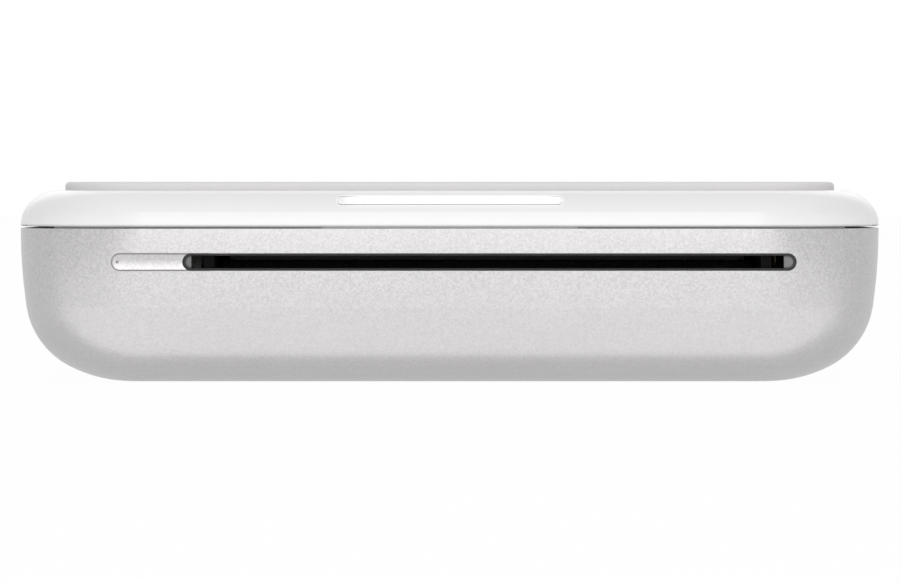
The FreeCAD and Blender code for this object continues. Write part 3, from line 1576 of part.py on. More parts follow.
def status_light():
    """The light board under the deck and the clear guide that lifts its light to the bar."""
    board = new_body("status_light_board")
    half = S.light_guide_length / 2
    top = deck_low
    front = guide_face + S.light_board_setback
    pad(board, "z", top - S.light_board_thickness, top, box_loop(
        -half - S.light_board_margin, half + S.light_board_margin,
        front, front + S.light_board_depth))
    chip_front = guide_face + S.light_chip_setback
    chips = [box_loop(x - S.light_chip_length / 2, x + S.light_chip_length / 2,
                      chip_front, chip_front + S.light_chip_depth)
             for x in (S.light_chip_pitch * (number - (LIGHT_CHIPS - 1) / 2)
                       for number in range(LIGHT_CHIPS))]
    pad(board, "z", top, top + S.light_chip_height, *chips)
    guide = new_body("status_light_guide")
    pad(guide, "z", top + S.light_chip_height + S.seat_gap, rim_top, box_loop(
        -half, half, guide_face, guide_face + S.light_guide_depth))


def latch():
    """The magnets in the liner and the steel keepers in the deck that hold the cover shut."""
    magnets = new_body("latch_magnets")
    pad(magnets, "z", liner_low, liner_low + S.magnet_thickness,
        *rings(magnet_places(), S.magnet_radius))
    keepers = new_body("latch_keepers")
    pad(keepers, "z", shell_top - S.keeper_thickness, shell_top,
        *rings(magnet_places(), S.magnet_radius))


def check_pieces():
    """Stop if any object failed, any cut removed nothing or any sub-part is not sound."""
    for item in doc.Objects:
        if "Invalid" in item.State or "Error" in item.State:
            raise RuntimeError(item.Name + " failed: " + str(item.State))
    for feature in cuts:
        before = feature.BaseFeature.Shape.Volume
        if feature.Shape.Volume >= before:
            raise RuntimeError(feature.Name + " cuts nothing")
    for piece in pieces:
        if piece.Shape.isNull() or not piece.Shape.isValid() or not piece.Shape.Solids:
            raise RuntimeError(piece.Label + " has no sound shape")


def main():
    lower_shell()
    inner_bezel()
    hinge_pins()
    top_cover()
    cover_panel()
    status_light_bar()
    cover_liner()
    pressure_plate()
    chassis()
    exit_guide()
    bushes("platen_bushes", platen_place, S.platen_bush_radius,
           S.platen_shaft_radius + S.bore_gap)
    bushes("pickup_bushes", pickup_place, S.pickup_bush_radius,
           S.pickup_shaft_radius + S.bore_gap)
    platen()
    pickup()
    gears()
    gear_pins()
    drive_motor()
    motor_bracket()
    print_head()
    head_pivot_rod()
    head_stay()
    all_screws()
    liner_screws()
    bracket_screws()
    springs()
    battery()
    leads()
    main_board()
    usb_port()
    rear_controls()
    head_flex_cable()
    status_light()
    latch()
    doc.recompute()
    check_pieces()
    os.makedirs("parts", exist_ok=True)
    for piece in pieces:
        piece.Shape.exportStep(os.path.join("parts", piece.Label + ".step"))
        print("%-20s %2d solids %10.3f mm3" % (
            piece.Label, len(piece.Shape.Solids), piece.Shape.Volume))


main()
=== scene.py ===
import json
import math
from contextlib import contextmanager

import bmesh
import bpy
from bpy.props import (BoolProperty, FloatProperty, FloatVectorProperty, IntProperty,
                       PointerProperty)
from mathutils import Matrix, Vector


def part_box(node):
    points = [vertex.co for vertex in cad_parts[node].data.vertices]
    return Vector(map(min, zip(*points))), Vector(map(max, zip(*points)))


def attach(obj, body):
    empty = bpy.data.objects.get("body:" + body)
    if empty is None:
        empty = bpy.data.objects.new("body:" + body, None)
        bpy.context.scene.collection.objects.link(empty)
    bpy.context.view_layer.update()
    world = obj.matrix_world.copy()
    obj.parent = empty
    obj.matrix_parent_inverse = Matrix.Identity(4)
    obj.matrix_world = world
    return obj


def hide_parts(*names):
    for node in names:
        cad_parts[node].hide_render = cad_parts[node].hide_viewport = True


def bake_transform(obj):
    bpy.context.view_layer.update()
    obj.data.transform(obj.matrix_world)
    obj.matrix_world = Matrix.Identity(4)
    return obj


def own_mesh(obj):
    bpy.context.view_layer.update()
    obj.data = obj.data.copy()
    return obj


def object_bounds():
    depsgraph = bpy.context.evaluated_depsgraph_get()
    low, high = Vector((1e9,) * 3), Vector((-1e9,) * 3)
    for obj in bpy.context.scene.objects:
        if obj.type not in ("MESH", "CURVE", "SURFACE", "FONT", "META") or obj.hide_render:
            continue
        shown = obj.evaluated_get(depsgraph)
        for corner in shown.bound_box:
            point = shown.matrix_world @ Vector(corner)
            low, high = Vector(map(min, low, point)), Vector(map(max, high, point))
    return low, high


bl_info = {
    "name": "Pocket Printer Finisher",
    "version": (1, 0, 0),
    "blender": (4, 5, 0),
    "location": "3D View > Sidebar > Printer",
    "description": "Finishes, small fittings and a studio for a pocket photo printer",
    "category": "Object",
}

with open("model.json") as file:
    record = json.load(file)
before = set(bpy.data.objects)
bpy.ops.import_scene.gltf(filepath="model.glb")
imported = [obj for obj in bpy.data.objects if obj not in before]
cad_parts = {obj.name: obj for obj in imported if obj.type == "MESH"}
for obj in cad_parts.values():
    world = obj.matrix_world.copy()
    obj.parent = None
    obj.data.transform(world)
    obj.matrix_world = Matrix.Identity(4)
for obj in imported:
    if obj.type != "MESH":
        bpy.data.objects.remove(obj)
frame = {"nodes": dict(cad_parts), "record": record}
cad_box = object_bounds()

MM = 0.001
# Points nearer to each other than this are one
DOUBLES = 1e-7
# Edges sharper than this many degrees are bevelled, and stay sharp in the shading
SHARP = 35
# Places and sizes in the printer that no node's box gives
FRONT_WALL_BACK = -50 * MM
MOUTH_BACK = -56 * MM
GLOW_MIDDLE = 0.35 * MM
LEFT_POST_BACK = 38 * MM
MOTOR_COLLAR = 0.4 * MM
CORNER_RADIUS = 12 * MM


# Node recipes

def maths(operation, swapped=False):
    """A method that works out a flow, or a flow and another value, with a Math node."""
    def method(flow, other=0):
        first, second = (other, flow) if swapped else (flow, other)
        return flow.recipe.node("ShaderNodeMath", {"operation": operation}, {0: first, 1: second})
    return method


class Flow:
    """One output of a node. Sums written on it add Math nodes."""

    def __init__(self, recipe, socket):
        self.recipe = recipe
        self.socket = socket

    __add__ = __radd__ = maths("ADD")
    __mul__ = __rmul__ = maths("MULTIPLY")
    __sub__ = maths("SUBTRACT")
    __rsub__ = maths("SUBTRACT", swapped=True)
    __gt__ = maths("GREATER_THAN")
    __lt__ = maths("LESS_THAN")
    __abs__ = maths("ABSOLUTE")
    most = maths("MAXIMUM")
    root = maths("SQRT")


class Recipe:
    """The node tree of a material or of the world."""

    def __init__(self, owner):
        owner.use_nodes = True
        self.tree = owner.node_tree

    def node(self, kind, settings=None, sockets=None, output=0):
        """Add a node, set it up, fill or link its sockets, and give back one output."""
        made = self.tree.nodes.new(kind)
        for name, value in (settings or {}).items():
            setattr(made, name, value)
        for name, value in (sockets or {}).items():
            self.fill(made.inputs[name], value)
        return Flow(self, made.outputs[output])

    def fill(self, socket, value):
        """Link a flow to a socket, or set its value, with a colour's alpha at 1."""
        if isinstance(value, Flow):
            self.tree.links.new(value.socket, socket)
        elif socket.type == "RGBA":
            socket.default_value = (*value, 1)
        else:
            socket.default_value = value

    def seen_plainly(self):
        """1 for rays of the camera, of reflections and through glass."""
        camera, glossy, through = [
            self.node("ShaderNodeLightPath", output="Is %s Ray" % kind)
            for kind in ("Camera", "Glossy", "Transmission")]
        return camera.most(glossy).most(through)


class Finish(Recipe):
    """A material, with its pattern helpers."""

    def __init__(self, name):
        self.material = bpy.data.materials.new(name)
        super().__init__(self.material)
        self.shader = self.tree.nodes["Principled BSDF"]
        self.place = self.node("ShaderNodeTexCoord", output="Object")

    def set(self, **sockets):
        """Fill sockets of the shader, and give back the finish."""
        for name, value in sockets.items():
            self.fill(self.shader.inputs[name.replace("_", " ")], value)
        return self

    def shine(self, level, share, least=0.0):
        """Give off grey light, rising with share from its least part to its level."""
        light = self.blend((level * least,) * 3, (level,) * 3, share)
        self.set(Emission_Color=light, Emission_Strength=1.0)

    def along(self, axis):
        """The place along X, Y or Z, in metres."""
        return self.node("ShaderNodeSeparateXYZ", {}, {0: self.place}, axis)

    def facing(self, direction):
        """How far the surface faces a direction."""
        normal = self.node("ShaderNodeNewGeometry", output="Normal")
        return self.node("ShaderNodeVectorMath", {"operation": "DOT_PRODUCT"},
                         {0: normal, 1: direction}, "Value")

    def grain(self, size, detail=2.0, stretch=(1, 1, 1)):
        """Soft noise with spots about size across."""
        place = self.node("ShaderNodeVectorMath", {"operation": "MULTIPLY"},
                          {0: self.place, 1: stretch})
        return self.node("ShaderNodeTexNoise", {},
                         {"Vector": place, "Scale": 1 / size, "Detail": detail})

    def cells(self, size, feature="F1", output="Distance"):
        """Distance from the middles or the edges of cells about size across."""
        return self.node("ShaderNodeTexVoronoi", {"feature": feature},
                         {"Vector": self.place, "Scale": 1 / size}, output)

    def flakes(self, size):
        """A random grey per cell."""
        return self.node("ShaderNodeSeparateColor", {}, {0: self.cells(size, output="Color")})

    def ease(self, value, start, end):
        """Rises from 0 at start to 1 at end."""
        return self.node("ShaderNodeMapRange", {"interpolation_type": "SMOOTHSTEP"},
                         {"Value": value, "From Min": start, "From Max": end})

    def blend(self, first, second, share):
        """A colour between two, by the Mix node's colour sockets."""
        return self.node("ShaderNodeMix", {"data_type": "RGBA"},
                         {0: share, 6: first, 7: second}, 2)

    def scaled(self, colour, factor):
        """A colour made lighter or darker by a pattern."""
        return self.node("ShaderNodeVectorMath", {"operation": "SCALE"},
                         {0: colour, "Scale": factor})

    def capsule(self, left, right, level, height):
        """Distance out from the edge of a capsule seen from the front, minus inside it."""
        across = (abs(self.along("X") - (left + right) / 2) - (right - left - height) / 2).most(0)
        rise = self.along("Z") - level
        return (across * across + rise * rise).root() - height / 2

    def rounded(self, radius):
        """The normal as if sharp edges were rounded."""
        return self.node("ShaderNodeBevel", {"samples": 4}, {"Radius": radius}, "Normal")

    def rubbed(self, rounded):
        """Where the surface bends sharply: 1 on edges, 0 on flats."""
        return self.ease(1 - self.facing(rounded), 0.01, 0.2)

    def bump(self, height, depth, rounded=None):
        """A normal from a height pattern whose full relief is depth metres."""
        sockets = {"Height": height, "Distance": depth, "Strength": 1.0}
        if rounded:
            sockets["Normal"] = rounded
        return self.node("ShaderNodeBump", {}, sockets)


def shade(colour, level):
    """A colour made lighter or darker."""
    return tuple(min(1.0, part * level) for part in colour)


# Sizes and colours that a user would change

def tone(label, about, *colour):
    return FloatVectorProperty(name=label, description=about, subtype="COLOR", size=3, min=0,
                               max=1, default=colour)


def length(label, about, value):
    return FloatProperty(name=label, description=about, subtype="DISTANCE", unit="LENGTH",
                         precision=5, default=value)


def amount(label, about, value, high=1.0):
    return FloatProperty(name=label, description=about, min=0, max=high, default=value)


def count(label, about, value, low, high):
    return IntProperty(name=label, description=about, min=low, max=high, default=value)


def power(label, about, value):
    return FloatProperty(name=label, description=about, unit="POWER", default=value)


class PrinterFinishes(bpy.types.PropertyGroup):
    """Colours and surface sizes of the printer's finishes."""

    pearl: tone("Pearl paint", "Colour of the lower shell's pearl paint", 0.495, 0.485, 0.489)
    slot: tone("Slot wall", "Shaded edge of the print slot", 0.05, 0.05, 0.051)
    # Painted shade: the step round the slot's mouth, a grey that stands for its shadow
    slot_floor_shade: tone("Slot floor", "Overspray on the step round the mouth", 0.24, 0.238, 0.238)
    cover: tone("Cover", "White of the hinged cover", 0.87, 0.862, 0.866)
    panel: tone("Panel", "Grey of the raised top panel", 0.79, 0.775, 0.78)
    bezel: tone("Bezel", "Dark plastic of the inner bezel", 0.085, 0.086, 0.09)
    chassis: tone("Chassis", "Black plastic of the print engine", 0.014, 0.014, 0.014)
    liner: tone("Liner", "Plastic inside the cover", 0.62, 0.62, 0.63)
    plate: tone("Pressure plate", "Plastic of the pressure plate", 0.3, 0.31, 0.32)
    flake: length("Flake", "Size of the flakes in the pearl paint", 0.14 * MM)
    slot_left: length("Slot left", "Left end of the print slot", -24.95 * MM)
    slot_right: length("Slot right", "Right end of the print slot", 32.4 * MM)
    slot_level: length("Slot level", "Height of the middle of the print slot", 11.52 * MM)
    slot_height: length("Slot height", "Height of the print slot", 1.6 * MM)
    recess_left: length("Recess left", "Left end of the recess beside the slot", -31.6 * MM)
    texture: length("Texture", "Grain of the moulded plastics", 0.14 * MM)
    edge: length("Edge", "Rounding of the moulded edges", 0.09 * MM)
    wear: amount("Wear", "How much the edges are rubbed", 0.35)


class PrinterFittings(bpy.types.PropertyGroup):
    """Sizes of the small fittings that the finisher adds."""

    tray_ribs: count("Tray ribs", "Paper ribs in the tray floor", 4, 2, 8)
    rib_height: length("Rib height", "Height of the tray's paper ribs", 0.25 * MM)
    rib_width: length("Rib width", "Width of the tray's paper ribs", 1.0 * MM)
    liner_rib: length("Liner rib", "Depth of the stiffening ribs under the cover", 0.45 * MM)
    felt: length("Felt", "Thickness of the friction pads", 0.12 * MM)
    lead_pins: count("Chip leads", "Leads along each side of the chip", 11, 4, 20)
    closed_ends: BoolProperty(name="Closed springs", description="Springs with flat end turns",
                              default=True)


class PrinterStudio(bpy.types.PropertyGroup):
    """The camera and the light."""

    distance: length("Camera distance", "From the camera to the widest part", 480 * MM)
    camera_height: length("Camera height", "Above the floor", 18.2 * MM)
    look_height: length("Look height", "Where the middle of the picture falls", 8.63 * MM)
    view_width: length("View width", "Width of the picture at the widest part", 86.12 * MM)
    key: power("Key light", "Power of the front softbox", 2.8)
    card: power("Reflector card", "Light off the card in front", 0.085)
    top: power("Top light", "Power of the overhead softbox", 2.0)
    rear: power("Rear light", "Power of the softbox behind", 1.3)
    fill: amount("Fill", "Strength of the light from all round", 0.42, 2)
    floor_white: amount("Floor white", "Share of the floor's plain white to the camera", 0.975)


def settings():
    return bpy.context.scene.printer_finishes


def fittings():
    return bpy.context.scene.printer_fittings


# Finishes

def pearl_paint():
    """Silver pearl paint: fine metal flakes under a satin clear coat, with painted shade in the
    slot and round the recess, painted light and shade in the recess, and flake contrast painted
    stronger towards the top.
    """
    own = settings()
    finish = Finish("pearl_paint")
    level = finish.along("Z")
    # Painted highlight: the flakes' contrast grows towards the top, where the highlight falls on
    # the shell
    painted_highlight_contrast = 0.55 + finish.ease(level, 5 * MM, 11 * MM) * 0.5
    grit = finish.flakes(own.flake) * 0.6 + finish.grain(own.flake) * 0.4
    grit = (grit - 0.5) * painted_highlight_contrast + 0.5
    coarse = finish.grain(own.flake * 3)
    cloud = finish.grain(11 * MM, 3)
    paint = finish.blend(shade(own.pearl, 0.74), shade(own.pearl, 1.26),
                         grit * 0.7 + coarse * 0.2 + cloud * 0.1)
    front = finish.along("Y") < FRONT_WALL_BACK
    slot = finish.capsule(own.slot_left, own.slot_right, own.slot_level, own.slot_height)
    recess = finish.capsule(own.recess_left, own.slot_left + own.slot_height * 2,
                            own.slot_level, own.slot_height)
    inside = (slot < 0.02 * MM) * front
    # Painted shade: a dark line along the recess's wall, standing for its shadow
    painted_outline_shade = finish.ease(abs(recess + 0.02 * MM), 0.1 * MM, 0.03 * MM)
    painted_outline_shade = painted_outline_shade * front * (1 - inside)
    # Painted shade inside the print slot: dark walls, and a grey step round the mouth where it
    # faces forward
    painted_slot_shade = finish.blend(own.slot, own.slot_floor_shade, (finish.facing((0, 1, 0)) < -0.7)
                          * finish.ease(slot, -0.2 * MM, -0.4 * MM))
    # Painted light and shade: the recess darker at its top and lighter along its bottom
    painted_recess_light = finish.ease(level, own.slot_level + 0.35 * MM, own.slot_level - 0.65 * MM)
    paint = finish.blend(paint, finish.scaled(paint, 0.76 + painted_recess_light * 0.5), (recess < 0) * front)
    colour = finish.blend(paint, shade(own.pearl, 0.5), painted_outline_shade)
    # Painted shade fills the print slot
    colour = finish.blend(colour, painted_slot_shade, inside)
    rounded = finish.rounded(own.edge)
    rubbed = finish.rubbed(rounded) * own.wear
    colour = finish.blend(colour, shade(own.pearl, 1.2), rubbed * (1 - inside))
    painted = 1 - inside.most(painted_outline_shade)
    return finish.set(Base_Color=colour, Metallic=painted * (0.76 + coarse * 0.08),
                      Roughness=0.37 + (grit - 0.5) * 0.2 + inside * 0.3,
                      Normal=finish.bump(grit * 0.7 + coarse * 0.3, 0.012 * MM, rounded))


def moulded(name, colour, rough, relief=0.006, cloud=0.06, coat=0.0, wear=1.0, gloss=0.5,
            over=None):
    """Moulded plastic: spark-eroded texture, faint flow clouds and rubbed edges.

    over takes the finish and its colour so far, and gives back the colour to use.
    """
    own = settings()
    finish = Finish(name)
    texture = finish.grain(own.texture, 3)
    flow = finish.grain(14 * MM, 3, (1, 0.5, 1))
    pits = finish.cells(own.texture * 1.7)
    rounded = finish.rounded(own.edge)
    rubbed = finish.rubbed(rounded) * (own.wear * wear)
    tint = finish.blend(shade(colour, 1 - cloud), shade(colour, 1 + cloud),
                        flow * 0.65 + texture * 0.35)
    tint = finish.blend(tint, [0.35 + 0.65 * part for part in colour], rubbed * 0.5)
    if over:
        tint = over(finish, tint)
    finish.set(Base_Color=tint, Roughness=rough + (flow - 0.5) * 0.12 - rubbed * 0.12,
               Specular_IOR_Level=gloss,
               Normal=finish.bump(texture * 0.6 + pits * 0.4, relief * MM, rounded))
    if coat:
        finish.set(Coat_Weight=coat, Coat_Roughness=0.12)
    return finish


def worked_metal(name, colour, rough, stretch=(1, 1, 1), size=0.05):
    """Metal with tool marks along one way, dull patches and bright edges."""
    finish = Finish(name)
    streak = finish.grain(size * MM, 3, stretch)
    brushed = finish.grain(size * 4 * MM, 2, stretch)
    patch = finish.grain(2.4 * MM, 4)
    rounded = finish.rounded(settings().edge * 0.8)
    tint = finish.blend(shade(colour, 0.68), shade(colour, 1.16),
                        streak * 0.25 + brushed * 0.4 + patch * 0.35)
    tint = finish.blend(tint, shade(colour, 1.3), finish.rubbed(rounded) * 0.6)
    return finish.set(Base_Color=tint, Metallic=1.0 - patch * 0.05,
                      Roughness=rough + brushed * 0.12 + (patch - 0.5) * 0.08,
                      Normal=finish.bump(streak, 0.004 * MM, rounded))


def sintered_bronze():
    """Oil-soaked sintered bronze, speckled with pores."""
    finish = Finish("sintered_bronze")
    pore = finish.ease(finish.cells(0.09 * MM), 0.12, 0.4)
    patch = finish.grain(0.6 * MM, 3)
    tint = finish.blend((0.16, 0.09, 0.04), (0.62, 0.37, 0.16), pore * 0.7 + patch * 0.3)
    return finish.set(Base_Color=tint, Metallic=0.6 + pore * 0.4, Roughness=0.55 - pore * 0.2,
                      Normal=finish.bump(pore, 0.01 * MM))


def roller_rubber():
    """Ground rubber with fine turned lines and a little paper dust."""
    finish = Finish("roller_rubber")
    turned = finish.grain(0.12 * MM, 2, (1, 0.08, 0.08))
    dust = finish.ease(finish.grain(0.5 * MM, 5), 0.56, 0.74)
    tint = finish.blend((0.028, 0.028, 0.03), (0.05, 0.05, 0.052), turned)
    tint = finish.blend(tint, (0.3, 0.29, 0.28), dust * 0.3)
    return finish.set(Base_Color=tint, Roughness=0.74 + dust * 0.2 - turned * 0.08,
                      Normal=finish.bump(turned, 0.012 * MM))


def milky_acetal():
    """Natural acetal of the gears, with grease film and mould haze."""
    finish = Finish("milky_acetal")
    haze = finish.grain(1.4 * MM, 3)
    fine = finish.grain(0.12 * MM, 3)
    grease = finish.ease(finish.grain(0.9 * MM, 3), 0.5, 0.7)
    tint = finish.blend((0.72, 0.71, 0.66), (0.86, 0.85, 0.81), haze)
    tint = finish.blend(tint, (0.6, 0.56, 0.46), grease * 0.25)
    return finish.set(Base_Color=tint, Roughness=0.46 - grease * 0.26 + fine * 0.08,
                      Coat_Weight=grease * 0.4,
                      Normal=finish.bump(fine, 0.003 * MM, finish.rounded(0.05 * MM)))


def head_ceramic():
    """Glazed ceramic of the print head with its printed lines, and dark resin along its front."""
    finish = Finish("head_ceramic")
    lines = finish.ease(finish.grain(0.12 * MM, 0, (1, 0.01, 0.01)), 0.47, 0.53)
    glaze = finish.grain(1.1 * MM, 3)
    low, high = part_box("head_strip")
    resin = finish.along("Y") < low.y + (high.y - low.y) * 0.25
    bare = 1 - resin
    tint = finish.blend((0.62, 0.6, 0.55), (0.72, 0.7, 0.66), glaze)
    tint = finish.blend(tint, (0.55, 0.4, 0.16), lines * 0.7)
    tint = finish.blend(tint, (0.032, 0.03, 0.027), resin)
    return finish.set(Base_Color=tint, Metallic=lines * bare * 0.6,
                      Roughness=0.2 + glaze * 0.12 + lines * 0.1 + resin * 0.3,
                      Normal=finish.bump(lines * bare + glaze * 0.2, 0.006 * MM))


def board_lacquer():
    """Green solder mask over copper tracks, with tinned pads and vias."""
    finish = Finish("board_lacquer")
    tracks = finish.ease(finish.cells(1.15 * MM, "DISTANCE_TO_EDGE"), 0.09, 0.07)
    vias = finish.ease(finish.cells(1.9 * MM), 0.14, 0.12)
    weave = finish.grain(0.35 * MM, 1, (1, 0.4, 1))
    tint = finish.blend((0.006, 0.07, 0.03), (0.014, 0.13, 0.055), tracks * 0.7 + weave * 0.3)
    tint = finish.blend(tint, (0.68, 0.62, 0.5), vias)
    return finish.set(Base_Color=tint, Metallic=vias * 0.9,
                      Roughness=0.32 + weave * 0.14 - vias * 0.08,
                      Normal=finish.bump(tracks * 0.7 + weave * 0.15 + vias * 0.3, 0.03 * MM))


def chip_epoxy():
    """Moulded epoxy of the chips, with pale specks of filler and rubbed edges."""
    finish = Finish("chip_epoxy")
    filler = finish.flakes(0.045 * MM)
    swirl = finish.grain(1.0 * MM, 3)
    rounded = finish.rounded(0.06 * MM)
    tint = finish.blend((0.014, 0.014, 0.015), (0.04, 0.04, 0.042), filler * 0.6 + swirl * 0.4)
    tint = finish.blend(tint, (0.12, 0.12, 0.12), finish.rubbed(rounded) * 0.4)
    return finish.set(Base_Color=tint, Roughness=0.55 + filler * 0.15 - swirl * 0.06,
                      Normal=finish.bump(filler, 0.006 * MM, rounded))


def pouch_foil():
    """Aluminium laminate of the battery pouch: soft dents and a fine rolled grain."""
    finish = Finish("pouch_foil")
    dent = finish.grain(6 * MM)
    rolled = finish.grain(0.16 * MM, 3, (1, 0.05, 1))
    scuff = finish.ease(finish.grain(3 * MM, 5), 0.5, 0.7)
    tint = finish.blend((0.36, 0.36, 0.37), (0.52, 0.52, 0.53),
                        dent * 0.4 + rolled * 0.4 + scuff * 0.2)
    return finish.set(Base_Color=tint, Metallic=0.85 + rolled * 0.15,
                      Roughness=0.34 + rolled * 0.1 + scuff * 0.1,
                      Normal=finish.bump(dent + rolled * 0.02, 0.16 * MM))


def cell_tape():
    """Amber tape over the cell's protection board."""
    finish = Finish("cell_tape")
    haze = finish.grain(1.6 * MM, 4)
    wrinkle = finish.grain(0.7 * MM, 3, (0.3, 1, 1))
    return finish.set(Base_Color=finish.blend((0.4, 0.17, 0.03), (0.6, 0.3, 0.06), haze),
                      Roughness=0.24 + wrinkle * 0.2, Normal=finish.bump(wrinkle, 0.04 * MM))


def cell_foam(name, colour, size=0.16):
    """Open-cell foam or pressed felt."""
    finish = Finish(name)
    pore = finish.cells(size * MM)
    fuzz = finish.grain(size * 3 * MM, 4)
    tint = finish.blend(shade(colour, 0.45), shade(colour, 1.1),
                        finish.ease(pore, 0.05, 0.5) * 0.7 + fuzz * 0.3)
    return finish.set(Base_Color=tint, Roughness=0.86 + fuzz * 0.12,
                      Normal=finish.bump(pore * 0.7 + fuzz * 0.3, 0.05 * MM))


def wire_sleeve(name, colour):
    """Extruded sleeve of a lead, slightly glossy, with handling marks."""
    finish = Finish(name)
    marks = finish.grain(0.5 * MM, 4)
    drawn = finish.grain(0.07 * MM, 2, (1, 0.1, 1))
    tint = finish.blend(shade(colour, 0.78), shade(colour, 1.12), marks * 0.7 + drawn * 0.3)
    return finish.set(Base_Color=tint, Roughness=0.38 + marks * 0.2,
                      Normal=finish.bump(drawn, 0.008 * MM))


def flex_film():
    """Amber film of the flex cable over its copper lines."""
    finish = Finish("flex_film")
    line = finish.node("ShaderNodeMath", {"operation": "PINGPONG"},
                       {0: finish.along("Y") + finish.along("Z"), 1: 0.25 * MM})
    copper = finish.ease(line, 0.08 * MM, 0.13 * MM)
    haze = finish.grain(1.3 * MM, 3)
    tint = finish.blend((0.26, 0.09, 0.012), (0.46, 0.2, 0.045), copper)
    tint = finish.blend(tint, (0.16, 0.06, 0.012), haze * 0.5)
    return finish.set(Base_Color=tint, Metallic=copper * 0.35, Roughness=0.22 + haze * 0.22,
                      Normal=finish.bump(copper + haze * 0.3, 0.02 * MM))


def lit_acrylic(name, body, glow, core, fade=0.9 * MM, bar=None):
    """Milky acrylic lit from inside, fading out at its ends and along a bar's lower edge."""
    finish = Finish(name)
    haze = finish.grain(0.9 * MM, 3)
    reach = finish.ease(abs(finish.along("X") - GLOW_MIDDLE), core, core - fade)
    if bar:
        low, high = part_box(bar)
        half = (high.z - low.z) / 2
        reach = reach * finish.ease(low.z + half - finish.along("Z"), half, half * 0.4)
    finish.shine(glow, reach * (0.9 + haze * 0.1), 0.05)
    return finish.set(Base_Color=finish.blend((body * 0.95,) * 3, (body,) * 3, haze),
                      Roughness=0.16 + haze * 0.1,
                      Normal=finish.bump(haze, 0.004 * MM, finish.rounded(0.06 * MM)))


def shaded_lip(finish, tint):
    """The underside of the cover's rim, a little darker."""
    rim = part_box("top_cover")[0].z
    low = finish.ease(finish.along("Z"), rim + 0.26 * MM, rim + 0.1 * MM)
    return finish.scaled(tint, 1 - low * 0.28)


def mouth_painted_shade(finish, tint):
    """The front of the engine's frame, with painted shade: nearly black where it shows through the
    print slot.
    """
    front = finish.ease(finish.along("Y"), MOUTH_BACK, MOUTH_BACK - 0.8 * MM)
    return finish.scaled(tint, 1 - front * 0.85)


def seam_painted_light(finish, tint):
    """The outer edge of the bezel, with painted light in the seam under the cover: a paler grey
    and a faint glow.
    """
    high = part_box("lower_shell")[1].z
    lip = finish.ease(finish.along("Z"), high - 0.6 * MM, high - 0.3 * MM)
    lip = (finish.facing(finish.place) > 25 * MM) * lip
    # Painted light: a faint glow and a paler grey on the bezel's lip in the seam
    finish.shine(0.15, lip)
    return finish.blend(tint, (0.42, 0.415, 0.41), lip)


def cover_white():
    """Satin white of the cover, with painted light round the light bar: a faint glow beside it and
    a brighter one on the rim round it.
    """
    finish = moulded("cover_white", settings().cover, 0.34, 0.002, 0.012, 0.25, 0.5,
                     over=shaded_lip)
    level = finish.along("Z")
    low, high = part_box("status_light_bar")
    middle = (low.z + high.z) / 2
    # Painted light: a faint glow on the cover beside the light bar
    along = finish.ease(abs(finish.along("X") - GLOW_MIDDLE), high.x, high.x - 1.4 * MM)
    beside = finish.ease(abs(level - middle), 0.8 * MM, 0.3 * MM)
    front = finish.ease(finish.along("Y"), high.y + 1.5 * MM, low.y)
    # Painted light on the rim round the light bar, brighter on its upper half
    rim = finish.capsule(low.x, high.x, middle, high.z - low.z)
    rim = finish.ease(rim, 0.15 * MM, 0.06 * MM) * (0.4 + finish.ease(level, low.z, middle) * 0.6)
    finish.shine(0.45, (along * beside * 0.22 + rim) * front)
    return finish


